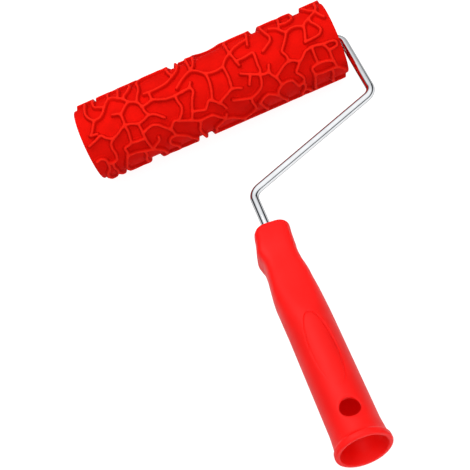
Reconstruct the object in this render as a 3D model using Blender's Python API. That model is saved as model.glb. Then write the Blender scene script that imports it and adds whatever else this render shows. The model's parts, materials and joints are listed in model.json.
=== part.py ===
"""Pattern paint roller: an embossed rubber sleeve that turns on a bent wire frame with a moulded handle.

The roller's axis runs along X, the handle points to -Y and +Z is up.
Everything is drawn about the roller's centre and then moved, so that the origin lies in the middle
of the bottom of the whole tool's box.
"""
import math

import bmesh
import bpy
import numpy as np
from mathutils import Vector
from mathutils.geometry import delaunay_2d_cdt

# Fits, in metres as every length here
fit_gap = 0.0003
cut_overrun = 0.004

# Edges that turn by more than this are left sharp
sharp_edge_angle = math.radians(35)

# Embossed rubber sleeve
sleeve_length = 0.180
ridge_radius = 0.02725
ridge_height = 0.0028
ridge_top_width = 0.0014
ridge_base_width = 0.0034
ridge_straightness = 0.00035
sleeve_wall = 0.0032
rim_round = 0.0006
floor_spacing = 0.0052
floor_margin = 0.0011
rim_tolerance = 0.0001
rim_clearance = 0.0004
rim_sides = 60

# Where ridges meet: a turn wider than this gets a rounded corner, and any other a mitre that reaches
# out no further than this many half widths
rounded_corner_turn = math.radians(207)
mitre_reach_limit = 2.6
flat_merge_distance = 1e-7

# Core tube under the rubber
core_wall = 0.0020
core_sides = 44

# End caps, one in each end of the core tube
cap_recess = 0.0040
cap_flange_thickness = 0.0025
cap_skirt_length = 0.0120
cap_skirt_wall = 0.0016
cap_web_recess = 0.0115
cap_web_thickness = 0.0020
cap_rib_count = 6
cap_rib_thickness = 0.0016
cap_rib_step = 0.0006
hub_recess = 0.0081
hub_wall = 0.0025
cap_sides = 36

# Bearing bushes in the caps' hubs
bush_wall = 0.0015
bush_lip = 0.0018
bush_flange_thickness = 0.0013

# Washers, collar and push-on cap on the rod
fitting_sides = 24
thrust_washer_radius = 0.0062
thrust_washer_thickness = 0.0010
flat_washer_radius = 0.0060
flat_washer_thickness = 0.0010
collar_radius = 0.0052
collar_length = 0.0034
collar_chamfer = 0.0005
push_cap_radius = 0.0045
push_cap_lip_radius = 0.0060
push_cap_lip_thickness = 0.0008
push_cap_depth = 0.0042
push_cap_wall = 0.0010
push_cap_round = 0.0008

# Wire frame, bent from one round rod
rod_diameter = 0.0054
bend_radius = 0.0085
leg_clearance = 0.0012
leg_reach = 0.0344
diagonal_drop = 0.0391
neck_offset = -0.0005
neck_length = 0.0338
rod_grip_depth = 0.0410
bend_steps = 7
rod_resolution = 4

# Handle, which leans a little off square to the roller and is turned a little on the rod
handle_length = 0.1519
handle_lean = math.radians(0.95)
grip_radius = 0.0135
handle_roll = math.radians(9.1)
socket_mouth_radius = 0.0128
socket_bore_radius = 0.0115
socket_taper_length = 0.0050
socket_depth = 0.0850
hang_hole_radius = 0.0054
hang_hole_from_tail = 0.0183
panel_length = 0.0490
panel_half_width = 0.0073
panel_depth = 0.0007
panel_from_tail = 0.0312
panel_columns = 6
panel_steps = 20
handle_sides = 32

# Rows of the handle from its front to its tail: the place as a share of the handle's length, the
# half width and half height as shares of the grip's radius, how square the section is, how much wider
# its top is than its middle, and how far it stands to the right, again as shares of the grip's radius
handle_row_shares = [
    (0.000, 0.705, 0.66, 4.3, 0.02, 0.092),
    (0.005, 0.775, 0.74, 4.4, 0.02, 0.092),
    (0.016, 0.812, 0.79, 4.5, 0.02, 0.084),
    (0.035, 0.820, 0.80, 4.6, 0.02, 0.058),
    (0.062, 0.832, 0.79, 4.7, 0.02, 0.014),
    (0.088, 0.856, 0.76, 4.6, 0.02, -0.026),
    (0.115, 0.878, 0.745, 4.4, 0.02, -0.067),
    (0.142, 0.842, 0.75, 4.3, 0.015, -0.060),
    (0.171, 0.807, 0.77, 4.2, 0.01, -0.034),
    (0.200, 0.819, 0.78, 4.0, 0.0, -0.026),
    (0.230, 0.86, 0.77, 3.9, 0.0, -0.02),
    (0.257, 0.893, 0.76, 3.8, 0.0, -0.02),
    (0.283, 0.916, 0.76, 3.6, 0.0, -0.03),
    (0.313, 0.945, 0.78, 3.3, 0.0, -0.038),
    (0.355, 0.975, 0.84, 3.0, 0.0, -0.035),
    (0.400, 0.985, 0.92, 2.6, 0.0, -0.02),
    (0.450, 0.995, 0.975, 2.3, 0.0, -0.01),
    (0.500, 1.00, 1.00, 2.0, 0.0, 0.0),
    (0.700, 1.00, 1.00, 2.0, 0.0, 0.0),
    (0.905, 1.00, 1.00, 2.0, 0.0, 0.0),
    (0.940, 1.022, 1.022, 2.0, 0.0, 0.0),
    (0.972, 1.06, 1.06, 2.0, 0.0, 0.0),
    (0.982, 1.125, 1.125, 2.0, 0.0, 0.0),
    (0.993, 1.13, 1.13, 2.0, 0.0, 0.0),
    (0.998, 1.11, 1.11, 2.0, 0.0, 0.0),
    (1.000, 1.08, 1.08, 2.0, 0.0, 0.0),
]

# Ridge lines of the rubber pattern as chains of points: the place along the sleeve in percent of its
# length, and the place round it in percent of half a turn. These chains lie on both halves of the
# sleeve, half a turn apart, and the two sets of links after them join the halves.
ridge_line_shares = [
    [(1.8, 50.8), (4.5, 49), (7.5, 47), (8.6, 50), (10.8, 53)],
    [(7, 33.5), (6, 37.5), (4.7, 42), (3.7, 43.6), (6.3, 44.5)],
    [(5.1, 12), (4.8, 18), (4.7, 24), (5.4, 29), (7, 33.5)],
    [(7, 33.5), (9.4, 32.9), (11.1, 29.4), (12.1, 25.2), (13.1, 21.5), (14.4, 16.8), (14.3, 12)],
    [(12.1, 25.2), (10.3, 22.8), (8.7, 20.5), (8.2, 16), (8.2, 12)],
    [(10.8, 53), (13.3, 50.9), (15.2, 48.3), (16.7, 47), (17, 42), (17, 37.2)],
    [(14.4, 16.8), (16.1, 18.4), (17.9, 21.8), (19.7, 25.3), (21.1, 30), (24, 33.5), (25.2, 38.8)],
    [(25.2, 38.8), (25.4, 43.5), (26.3, 47)],
    [(18.4, 12), (18.2, 17), (17.9, 21.8)],
    [(19.7, 25.3), (20.6, 21.5), (22, 18.6), (23, 14)],
    [(21.1, 30), (19.3, 32.8), (18, 35.6), (17, 37.2), (15.6, 35.9), (14.1, 35.1)],
    [(24, 33.5), (24.8, 28.5), (25.8, 24), (26.2, 19), (25.9, 13)],
    [(16.7, 47), (19.2, 47.9), (21.5, 50.1), (24, 49), (26.3, 47), (28.2, 48.3), (31.1, 53.8)],
    [(16.7, 47), (17, 52), (16.7, 57), (16.2, 61.8), (13.2, 64.3), (13.4, 68), (13, 71.3)],
    [(16.2, 61.8), (18.5, 62.7), (21.5, 63)],
    [(21.5, 50.1), (21.6, 54.2), (21.6, 58.7), (21.5, 63), (21.7, 67.5), (22, 71.5), (22.4, 76)],
    [(13, 71.3), (16.5, 71.9), (19.3, 73.8), (22.4, 76)],
    [(13, 71.3), (12, 75), (11.1, 80), (10.4, 84), (10.3, 88)],
    [(19.3, 73.8), (19.3, 79), (18.4, 84), (18.2, 88)],
    [(10.8, 53), (9.4, 56.2), (9.1, 60.5), (9.4, 65), (8.6, 70.7), (6.7, 72), (5.3, 70.5)],
    [(5.3, 70.5), (5, 66.3), (3.6, 64.3), (1.8, 65.2)],
    [(5.3, 70.5), (4.8, 76), (3, 82), (2.5, 88)],
    [(6.7, 72), (6.4, 77), (6.8, 82), (6.5, 88)],
    [(21.6, 58.7), (23.7, 56.6), (26, 55.5), (28, 57.4), (29.8, 61.5), (31.4, 65)],
    [(22.4, 76), (24, 72.5), (25.7, 70), (26.2, 66.8)],
    [(22.4, 76), (24.3, 79.5), (25.6, 83.3), (25.9, 88)],
    [(25.2, 38.8), (27.3, 38.4), (29.4, 37), (31.5, 38.8), (34, 40.8), (37.7, 41.5), (40.6, 40.9)],
    [(40.6, 40.9), (43.6, 40), (44.6, 36.3)],
    [(29.4, 37), (29.3, 33), (29.3, 29.6), (27.4, 29.1)],
    [(29.3, 29.6), (33, 29.4), (36.6, 28), (39.4, 24), (41.3, 20), (42.2, 14)],
    [(38, 12), (38.4, 18), (39.4, 24)],
    [(39.3, 36.2), (41.2, 32.8), (43.6, 29.2), (46.3, 26.6), (48.4, 29.4), (50.9, 34.9)],
    [(46.3, 26.6), (46.2, 19), (45.9, 12)],
    [(46.3, 26.6), (47.5, 23.2), (48.3, 17.5), (48.5, 12)],
    [(50.9, 34.9), (51.1, 40), (50.9, 45), (50.3, 50.5), (49.3, 56.4)],
    [(43.6, 40), (44.4, 43.2), (43, 49), (41.9, 54), (41.2, 58.3), (40.4, 62), (39.7, 65)],
    [(37.7, 41.5), (37.8, 46.5), (38.3, 51.2), (37.7, 55), (35.4, 60.8)],
    [(31.4, 65), (32.5, 62), (33.8, 59.4), (35.4, 60.8), (37.6, 63), (39.7, 65), (42.5, 68.5)],
    [(41.2, 58.3), (43.6, 59.9), (45.8, 61.1), (47.1, 58), (48.1, 55.6), (49.3, 56.4)],
    [(49.3, 56.4), (50.4, 58.8), (51.5, 61.2), (52.4, 64), (53, 67.6)],
    [(31.4, 65), (31.9, 68.5), (32, 71.7)],
    [(32, 71.7), (30.3, 72.2), (29, 75.9), (29.2, 79.6), (30.5, 83.3), (31.2, 88)],
    [(32, 71.7), (34.2, 74.8), (36, 78.3), (37, 83), (38.8, 88)],
    [(42.5, 68.5), (45, 67.8), (47.4, 68.2), (49, 71.8), (51.2, 76.8)],
    [(42.5, 68.5), (41.8, 72.4), (41, 77), (41.2, 82.5), (41.6, 88)],
    [(51.2, 76.8), (48.8, 80.2), (46.6, 83.8), (46.6, 88)],
    [(50.9, 34.9), (53, 36), (55.4, 36.4), (57.5, 35.7), (57.9, 40.5), (58, 45.5), (57.8, 50)],
    [(57.8, 50), (57.5, 54.5)],
    [(57.5, 35.7), (58.7, 31.9), (60.2, 28.6), (61.7, 26.6)],
    [(61.7, 26.6), (61.5, 22), (61.4, 17), (61.1, 12)],
    [(61.7, 26.6), (62.3, 31), (62.8, 35.8), (63.2, 39.7)],
    [(61.7, 26.6), (64, 22.7), (66.8, 20.3), (69.3, 18.8), (70, 12)],
    [(69.3, 18.8), (69.2, 22.5), (68.8, 26)],
    [(62.8, 35.8), (66.3, 35.5), (69.6, 34.6), (69.6, 40), (69.4, 45.4), (69.5, 49.6), (68.8, 52.9)],
    [(62.5, 46.4), (65.6, 49.8), (68.8, 52.9), (70.3, 54.1), (72.1, 53.8)],
    [(65.6, 49.8), (64.8, 53.2), (63.9, 57)],
    [(68.8, 52.9), (68.4, 58), (67.6, 62.4), (65.8, 65.4), (62.6, 68.4)],
    [(72.1, 53.8), (72.5, 51.4), (73, 48.8)],
    [(72.1, 53.8), (72.7, 57.2), (73.8, 60.3), (74.3, 64), (74.7, 68)],
    [(73.8, 60.3), (75.6, 57.4), (77.8, 54.2), (80.2, 52.3)],
    [(56.3, 63.4), (58.2, 65), (60.3, 66.4), (62.6, 68.4), (62.5, 72.6), (63, 77), (62.9, 81)],
    [(62.9, 81), (60.6, 84.6), (57.6, 88.5)],
    [(51.5, 61.2), (53.1, 58.9), (55.2, 56.8), (57.5, 54.5), (59.2, 55.3), (60.8, 57)],
    [(52.1, 73), (51.2, 76.8), (53.4, 79), (55.2, 82.8), (57.6, 88.5)],
    [(65, 76.4), (66.8, 72.8), (68.8, 71.2), (70.7, 73.8), (72.2, 76.6)],
    [(72.2, 76.6), (72.8, 72), (74.7, 68)],
    [(72.2, 76.6), (73.1, 81), (74, 85), (74.6, 88)],
    [(65, 76.4), (65.5, 80.5), (66, 84.5), (66.7, 88)],
    [(73, 37), (75, 34.2), (76.8, 31.3), (77.3, 27.4), (76.6, 22.6), (75.9, 17), (75.6, 12)],
    [(78.2, 18.4), (79.9, 20.6), (81.5, 24), (82.2, 27.2), (83.4, 29.8)],
    [(81.5, 24), (82.2, 18.5), (82.7, 12)],
    [(82.2, 18.5), (84.6, 20.4), (87.2, 18.3), (87.6, 12)],
    [(83.4, 29.8), (82.4, 34), (80.8, 38.8), (79.2, 43.5), (80.1, 48), (80.2, 52.3)],
    [(83.4, 29.8), (85.4, 28.2), (87.6, 28.4), (90, 31), (91.1, 28.4), (92.7, 26.8)],
    [(90, 31), (89.6, 35.4), (88.9, 40), (88.3, 43.9)],
    [(88.3, 43.9), (91.3, 43.6), (94, 42.6), (95.1, 39.6), (94.3, 35), (93, 30.6), (92.7, 26.8)],
    [(92.7, 26.8), (94.2, 24.2), (96, 21.6), (97, 17), (97.2, 12)],
    [(93, 12), (94.2, 17.6), (96, 21.6), (96.7, 26.3), (98, 30.6)],
    [(80.2, 52.3), (82, 53.6), (83.8, 56), (85.4, 53.6), (86.8, 50.8), (89.6, 49.5), (92, 50)],
    [(92, 50), (93.6, 51), (96.2, 51), (98.3, 52.6), (98.4, 55.6), (95, 57.3)],
    [(83.8, 56), (82.4, 59.6), (81.2, 63.2), (82.2, 66.6), (83, 70.6), (82.5, 74.6), (80.4, 76.2)],
    [(80.4, 76.2), (79.6, 72.2), (78.9, 68.4), (77.2, 67.1), (74.7, 68)],
    [(89.6, 49.5), (89.5, 54.3), (89.5, 59), (89.6, 63.6)],
    [(87.3, 72), (87, 65.4), (89.6, 63.6), (91.6, 63.8), (93.6, 65), (95.2, 67.2)],
    [(93.6, 51), (94.4, 54), (95, 57.3), (95, 62.2), (95.2, 67.2), (95.7, 73.8)],
    [(87.3, 72), (90, 73.2), (93.7, 73.3), (95.7, 73.8), (97.2, 76.7), (98.5, 79.8)],
    [(87.3, 72), (86.9, 76.5), (86.4, 82), (86.2, 88)],
    [(93.7, 73.3), (93.9, 78.5), (93.4, 83.5), (93.2, 88)],
    [(82.5, 74.6), (82.7, 79.4), (82.2, 83.6), (81, 88.5)],
    [(82.2, 83.6), (83.4, 86), (84, 88)],
]
top_link_shares = [
    [(2.5, -12), (3.6, -5), (4.8, 3), (5.1, 12)],
    [(6.5, -12), (7.6, -4), (8.2, 4), (8.2, 12)],
    [(10.3, -12), (11.3, -5), (13.2, 1), (14.2, 6), (14.3, 12)],
    [(13.2, 1), (16, -3), (18.4, -1), (18.3, 5), (18.4, 12)],
    [(18.2, -12), (18.6, -6), (18.4, -1)],
    [(18.4, -1), (20.6, 2.5), (22.8, 4.5), (23.2, 9), (23, 14)],
    [(22.8, 4.5), (25.2, 1), (25.9, -5), (25.9, -12)],
    [(25.9, 13), (26.6, 7), (28.4, 3.5), (30.9, 1), (31.4, -5), (31.2, -12)],
    [(30.9, 1), (32.8, 4.3), (34.4, 2.5)],
    [(38, 12), (38.1, 4), (37.8, -4), (38.8, -12)],
    [(42.2, 14), (42, 6), (41.6, -3), (41.6, -12)],
    [(45.9, 12), (46, 4), (46.8, -4), (46.6, -12)],
    [(46, 4), (48.3, 6), (48.5, 12)],
    [(48.3, 6), (49, -1), (51.5, -7), (54.6, -8.5), (57.8, -6), (59.6, -1), (61.3, 5), (61.1, 12)],
    [(57.8, -6), (57.6, -11.5)],
    [(61.3, 5), (62.8, 3), (64.8, -0.5), (66.6, -5.5), (66.7, -12)],
    [(64.8, -0.5), (67.5, 2.2), (69.8, 4.6), (70, 12)],
    [(69.8, 4.6), (71.2, 1.2)],
    [(75.6, 12), (75.7, 5), (75.1, -4), (74.6, -12)],
    [(75.7, 5), (78.5, 2.2), (81, 4.2), (82.6, 7), (82.7, 12)],
    [(81, 4.2), (80.9, -4), (81, -11.5)],
    [(82.6, 7), (85, 2.2), (86.5, -4), (86.2, -12)],
    [(85, 2.2), (87.3, 5.8), (87.6, 12)],
    [(85, 2.2), (84.3, -4.5), (84, -12)],
    [(93, 12), (92.1, 5), (92.9, -3), (93.2, -12)],
    [(92.1, 5), (95.4, 1.2), (97.4, 5), (97.2, 12)],
]
bottom_link_shares = [
    [(2.5, 88), (3.2, 96), (4.4, 104), (5.1, 112)],
    [(6.5, 88), (7.4, 95), (8, 103), (8.2, 112)],
    [(10.3, 88), (10.8, 95), (12.8, 100.5), (14, 106), (14.3, 112)],
    [(12.8, 100.5), (15.5, 102.8), (18, 99.7), (18.6, 94), (18.2, 88)],
    [(18, 99.7), (18.8, 106), (18.4, 112)],
    [(23, 114), (23.6, 107), (24.4, 101), (26, 95.5), (25.9, 88)],
    [(24.4, 101), (27, 103.6), (29.2, 101), (31, 96), (31.2, 88)],
    [(25.9, 113), (26.3, 108), (27, 103.6)],
    [(29.2, 101), (31.8, 103.2), (34.1, 100.6), (36.4, 102), (38.2, 97), (38.8, 88)],
    [(36.4, 102), (37.9, 106.4), (38, 112)],
    [(41.6, 88), (41.8, 97), (42, 105), (42.2, 114)],
    [(46.6, 88), (45.6, 96), (45.3, 104), (45.9, 112)],
    [(45.6, 96), (47.8, 100.2), (49.3, 105.2), (48.5, 112)],
    [(47.8, 100.2), (50.6, 98), (53.6, 100.6), (56.5, 98.6), (57.6, 93.5), (57.6, 88.5)],
    [(56.5, 98.6), (59.5, 101), (61.2, 105.4), (61.1, 112)],
    [(59.5, 101), (62.6, 98.6), (65.5, 100), (66.9, 94.5), (66.7, 88)],
    [(65.5, 100), (68.4, 101.6), (70.2, 105.4), (70, 112)],
    [(68.4, 101.6), (71.5, 99), (74, 100.5), (75, 94.5), (74.6, 88)],
    [(74, 100.5), (75.4, 106), (75.6, 112)],
    [(74, 100.5), (77, 101.8), (79.7, 99.5), (80.9, 94.5), (81, 88.5)],
    [(79.7, 99.5), (82.1, 103.6), (82.7, 112)],
    [(82.1, 103.6), (84.4, 99.4), (84.3, 93.5), (84, 88)],
    [(84.4, 99.4), (87.1, 101.8), (87.9, 106.4), (87.6, 112)],
    [(87.1, 101.8), (86.7, 95), (86.2, 88)],
    [(87.1, 101.8), (90.3, 99), (93, 101), (93.4, 94.5), (93.2, 88)],
    [(93, 101), (92.5, 106), (93, 112)],
    [(93, 101), (96, 98.6), (98.2, 101.6), (97.7, 106.4), (97.2, 112)],
]
half_turn_share = 100
pattern_start = math.radians(49)

# Sizes worked out from the ones above; the handle's own places along Y are measured from the neck
rod_radius = rod_diameter / 2
floor_radius = ridge_radius - ridge_height
bore_radius = floor_radius - sleeve_wall
core_radius = bore_radius - fit_gap
core_bore_radius = core_radius - core_wall
sleeve_end = sleeve_length / 2
outline_end = sleeve_end - rim_round - rim_clearance
cap_face = sleeve_end - cap_recess
cap_flange_inner = cap_face - cap_flange_thickness
skirt_radius = core_bore_radius - fit_gap
skirt_inner_radius = skirt_radius - cap_skirt_wall
skirt_end = cap_flange_inner - cap_skirt_length
hub_face = cap_face - hub_recess
rod_hole_radius = rod_radius + fit_gap
bush_radius = rod_hole_radius + bush_wall
hub_bore_radius = bush_radius + fit_gap
hub_radius = hub_bore_radius + hub_wall
bush_face = hub_face + fit_gap + bush_flange_thickness
thrust_start = bush_face + fit_gap
thrust_face = thrust_start + thrust_washer_thickness
collar_start = thrust_face + fit_gap
collar_face = collar_start + collar_length
flat_washer_face = thrust_face + fit_gap + flat_washer_thickness
push_cap_start = flat_washer_face + fit_gap
push_cap_floor = push_cap_start + push_cap_depth
leg_x = max(sleeve_end + leg_clearance + rod_radius, collar_face + fit_gap + bend_radius)
leg_y = -(ridge_radius + leg_reach)
neck_y = leg_y - diagonal_drop
front_y = -neck_length
rod_end_y = front_y - rod_grip_depth
tail_y = front_y - handle_length
tail_face_radius = handle_row_shares[-1][1] * grip_radius
tool_near_y = neck_y + tail_y * math.cos(handle_lean) - tail_face_radius * math.sin(handle_lean)
tool_right = leg_x + rod_radius
origin_offset = Vector(((sleeve_end - tool_right) / 2, -(ridge_radius + tool_near_y) / 2, ridge_radius))


def clear_scene():
    for old in list(bpy.data.objects):
        bpy.data.objects.remove(old, do_unlink=True)


def make_material(name, colour, roughness, metallic=0.0):
    material = bpy.data.materials.new(name)
    material.use_nodes = True
    shader = material.node_tree.nodes["Principled BSDF"]
    shader.inputs["Base Color"].default_value = (*colour, 1.0)
    shader.inputs["Roughness"].default_value = roughness
    shader.inputs["Metallic"].default_value = metallic
    return material


def make_empty(name):
    empty = bpy.data.objects.new(name, None)
    empty.location = origin_offset
    bpy.context.collection.objects.link(empty)
    return empty


def make_object(name, mesh_data, parent=None, material=None):
    piece = bpy.data.objects.new(name, mesh_data)
    bpy.context.collection.objects.link(piece)
    piece.parent = parent
    if material:
        mesh_data.materials.append(material)
    return piece


def mesh_from(name, points, faces):
    """A mesh of the given points and faces, with its faces turned outwards and shaded smooth."""
    form = bmesh.new()
    corners = [form.verts.new(point) for point in points]
    for face in faces:
        form.faces.new([corners[i] for i in face])
    bmesh.ops.recalc_face_normals(form, faces=form.faces)
    mesh = bpy.data.meshes.new(name)
    form.to_mesh(mesh)
    form.free()
    mesh.shade_smooth()
    mesh.set_sharp_from_angle(angle=sharp_edge_angle)
    return mesh


def turned_mesh(name, profile, sides):
    """Turns a closed profile of (x, radius) points about the X axis; a radius of zero is a pole."""
    points = []
    rings = []
    for x, radius in profile:
        if radius == 0:
            rings.append([len(points)] * sides)
            points.append((x, 0, 0))
            continue
        rings.append(list(range(len(points), len(points) + sides)))
        for i in range(sides):
            angle = 2 * math.pi * i / sides
            points.append((x, radius * math.cos(angle), radius * math.sin(angle)))
    faces = []
    for here, ring in enumerate(rings):
        following = rings[(here + 1) % len(rings)]
        if ring[0] == ring[1] and following[0] == following[1]:
            continue
        for i in range(sides):
            j = (i + 1) % sides
            corners = [ring[i], ring[j], following[j], following[i]]
            faces.append(list(dict.fromkeys(corners)))
    return mesh_from(name, points, faces)


def make_turned(name, profile, sides, side, parent, material):
    """A turned piece on the roller's axis, on the right (side 1) or the left (side -1)."""
    placed = [(side * x, radius) for x, radius in profile]
    return make_object(name, turned_mesh(name, placed, sides), parent, material)


def washer_profile(start, end, hole_radius, outer_radius):
    return [(start, hole_radius), (end, hole_radius), (end, outer_radius), (start, outer_radius)]


def boolean(piece, cutter, operation):
    """Cuts or joins with another object, which stays in the scene as a hidden guide."""
    cutter.hide_render = True
    cutter.display_type = "WIRE"
    modifier = piece.modifiers.new(cutter.name, "BOOLEAN")
    modifier.operation = operation
    modifier.solver = "EXACT"
    modifier.object = cutter


def straightened(chain, tolerance):
    """Leaves out the points of a chain that lie closer than the tolerance to the straight way."""
    if len(chain) < 3:
        return chain
    start = np.array(chain[0])
    way = np.array(chain[-1]) - start
    inner = np.array(chain[1:-1]) - start
    away = np.abs(inner[:, 0] * way[1] - inner[:, 1] * way[0]) / np.hypot(*way)
    if away.max() < tolerance:
        return [chain[0], chain[-1]]
    widest = int(away.argmax()) + 1
    first = straightened(chain[:widest + 1], tolerance)
    return first + straightened(chain[widest:], tolerance)[1:]


def ridge_network():
    """Nodes (x, arc) and edges of the ridges' centre lines on the unrolled sleeve.

    Chains are first cut at every point that another chain meets, so that straightening keeps joints.
    """
    arc_per_share = math.pi * ridge_radius / half_turn_share
    chains = [[(u, v) for u, v in chain] for chain in ridge_line_shares]
    chains += [[(u, v + half_turn_share) for u, v in chain] for chain in ridge_line_shares]
    chains += top_link_shares + bottom_link_shares
    meetings = {}
    for chain in chains:
        for place, (u, v) in enumerate(chain):
            key = (round(u, 2), round(v % (2 * half_turn_share), 2))
            ends_here = place in (0, len(chain) - 1)
            meetings[key] = meetings.get(key, 0) + (1 if ends_here else 2)
    numbers = {}
    nodes = []
    edges = set()
    for chain in chains:
        keys = [(round(u, 2), round(v % (2 * half_turn_share), 2)) for u, v in chain]
        cuts = [i for i, key in enumerate(keys) if meetings[key] != 2 or i in (0, len(keys) - 1)]
        for first, last in zip(cuts, cuts[1:]):
            placed = [
                ((u / half_turn_share - 0.5) * sleeve_length, v * arc_per_share)
                for u, v in chain[first:last + 1]
            ]
            line = []
            for point in straightened(placed, ridge_straightness):
                key = keys[first + placed.index(point)]
                if key not in numbers:
                    numbers[key] = len(nodes)
                    nodes.append(point)
                line.append(numbers[key])
            edges.update(zip(line, line[1:]))
    return nodes, sorted(edges)


def arc_difference(arc):
    """The shortest way round the sleeve, for an arc or an array of arcs."""
    turn = 2 * math.pi * ridge_radius
    return (arc + turn / 2) % turn - turn / 2


def distances_to_ridges(points, nodes, edges):
    """How far each point of the unrolled sleeve lies from the nearest ridge's centre line."""
    points = np.array(points)
    nearest = np.full(len(points), sleeve_length)
    for i, j in edges:
        way = np.array([nodes[j][0] - nodes[i][0], arc_difference(nodes[j][1] - nodes[i][1])])
        offset = points - np.array(nodes[i])
        offset[:, 1] = arc_difference(offset[:, 1])
        along = np.clip(offset @ way / (way @ way), 0, 1)
        away = np.hypot(offset[:, 0] - along * way[0], offset[:, 1] - along * way[1])
        nearest = np.minimum(nearest, away)
    return nearest


def sector_points(node, start_angle, sweep, distance):
    """Outline points beside a node, in the sector between two of its ridges.

    A sector well over half a turn gets a rounded corner, and any other a mitre of limited reach.
    No point comes nearer to a rim than the rims' clearance.
    """
    if sweep > rounded_corner_turn:
        quarter = math.pi / 2
        turns = [(quarter, 1), (sweep / 2, 1), (sweep - quarter, 1)]
    else:
        turns = [(sweep / 2, min(1 / math.sin(sweep / 2), mitre_reach_limit))]
    found = []
    for turn, reach in turns:
        angle = start_angle + turn
        x = node[0] + distance * reach * math.cos(angle)
        arc = node[1] + distance * reach * math.sin(angle)
        found.append((max(-outline_end, min(outline_end, x)), arc))
    return found


def ridge_outlines(nodes, edges, distance):
    """Points and edges of the lines that run beside the ridges at the given distance."""
    ways = {i: [] for i in range(len(nodes))}
    for i, j in edges:
        for here, there in ((i, j), (j, i)):
            across = nodes[there][0] - nodes[here][0]
            round_way = arc_difference(nodes[there][1] - nodes[here][1])
            ways[here].append((math.atan2(round_way, across) % (2 * math.pi), there))
    points = []
    lines = []
    left_of = {}
    right_of = {}
    for here, spokes in ways.items():
        spokes.sort()
        for place, (angle, there) in enumerate(spokes):
            next_angle, next_there = spokes[(place + 1) % len(spokes)]
            sweep = (next_angle - angle) % (2 * math.pi)
            if sweep == 0:
                sweep = 2 * math.pi
            beside = sector_points(nodes[here], angle, sweep, distance)
            first = len(points)
            points.extend(beside)
            lines.extend((first + i, first + i + 1) for i in range(len(beside) - 1))
            left_of[here, there] = first
            right_of[here, next_there] = len(points) - 1
    for i, j in edges:
        lines.append((left_of[i, j], right_of[j, i]))
        lines.append((left_of[j, i], right_of[i, j]))
    return points, lines


def sleeve_surface():
    """Triangles of the sleeve's outer surface, with its ridges, between its two rounded rims.

    The unrolled surface is bent into a flat ring before it is divided into triangles, so that no
    seam is left: the place along the sleeve gives the distance from the ring's centre.
    """
    nodes, edges = ridge_network()
    top_points, top_lines = ridge_outlines(nodes, edges, ridge_top_width / 2)
    base_points, base_lines = ridge_outlines(nodes, edges, ridge_base_width / 2)
    half_length = sleeve_end - rim_round
    turn = 2 * math.pi * ridge_radius
    floor_columns = int(2 * half_length / floor_spacing)
    floor_rows = int(turn / floor_spacing)
    floor_points = []
    for column in range(1, floor_columns):
        for row in range(floor_rows):
            shift = column % 2 / 2
            x = -half_length + 2 * half_length * column / floor_columns
            floor_points.append((x, turn * (row + shift) / floor_rows))
    away = distances_to_ridges(floor_points, nodes, edges)
    clear = ridge_base_width / 2 + floor_margin
    floor_points = [point for point, gap in zip(floor_points, away) if gap > clear]
    rim_points = []
    rim_lines = []
    for end in (-half_length, half_length):
        first = len(rim_points)
        for i in range(rim_sides):
            rim_points.append((end, turn * i / rim_sides))
            rim_lines.append((first + i, first + (i + 1) % rim_sides))
    points = []
    lines = []
    for group, group_lines in (
        (rim_points, rim_lines),
        (top_points, top_lines),
        (base_points, base_lines),
        (floor_points, []),
    ):
        lines.extend((len(points) + i, len(points) + j) for i, j in group_lines)
        points.extend(group)
    flat = []
    for x, arc in points:
        reach = math.exp(x / ridge_radius)
        angle = arc / ridge_radius
        flat.append(Vector((reach * math.cos(angle), reach * math.sin(angle))))
    found, _, triangles, _, _, _ = delaunay_2d_cdt(flat, lines, [], 0, flat_merge_distance)
    unrolled = []
    for place in found:
        x = max(-half_length, min(half_length, ridge_radius * math.log(place.length)))
        unrolled.append((x, math.atan2(place.y, place.x) * ridge_radius))
    away = distances_to_ridges(unrolled, nodes, edges)
    slope = (ridge_base_width - ridge_top_width) / 2
    rise = np.clip((ridge_base_width / 2 - away) / slope, 0, 1)
    surface = []
    for (x, arc), share in zip(unrolled, rise):
        at_rim = abs(abs(x) - half_length) < rim_tolerance
        radius = floor_radius if at_rim else floor_radius + ridge_height * float(share)
        surface.append((x, arc / ridge_radius, radius))
    kept = [
        face for face in triangles
        if not all(surface[i][0] < -half_length + rim_tolerance for i in face)
    ]
    return surface, kept


def make_sleeve(parent, material):
    """The rubber sleeve: its patterned outside, rounded rims, flat ends and plain bore."""
    surface, faces = sleeve_surface()
    points = []
    for x, turn, radius in surface:
        angle = pattern_start + turn
        points.append((x, radius * math.cos(angle), radius * math.sin(angle)))
    half_length = sleeve_end - rim_round
    rims = []
    for end in (-half_length, half_length):
        on_rim = [i for i, place in enumerate(surface) if abs(place[0] - end) < rim_tolerance]
        rims.append(sorted(on_rim, key=lambda i: surface[i][1] % (2 * math.pi)))
    rings = [rims[0]]
    for x, radius in (
        (-sleeve_end, floor_radius - rim_round),
        (-sleeve_end, bore_radius),
        (sleeve_end, bore_radius),
        (sleeve_end, floor_radius - rim_round),
    ):
        rings.append(list(range(len(points), len(points) + rim_sides)))
        for i in rims[0]:
            angle = pattern_start + surface[i][1]
            points.append((x, radius * math.cos(angle), radius * math.sin(angle)))
    rings.append(rims[1])
    faces = list(faces)
    for ring, following in zip(rings, rings[1:]):
        for i in range(rim_sides):
            j = (i + 1) % rim_sides
            faces.append([ring[i], ring[j], following[j], following[i]])
    return make_object("pattern_sleeve", mesh_from("pattern_sleeve", points, faces), parent, material)


def make_core_tube(parent, material):
    end = cap_flange_inner - fit_gap
    profile = washer_profile(-end, end, core_bore_radius, core_radius)
    return make_turned("core_tube", profile, core_sides, 1, parent, material)


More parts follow.
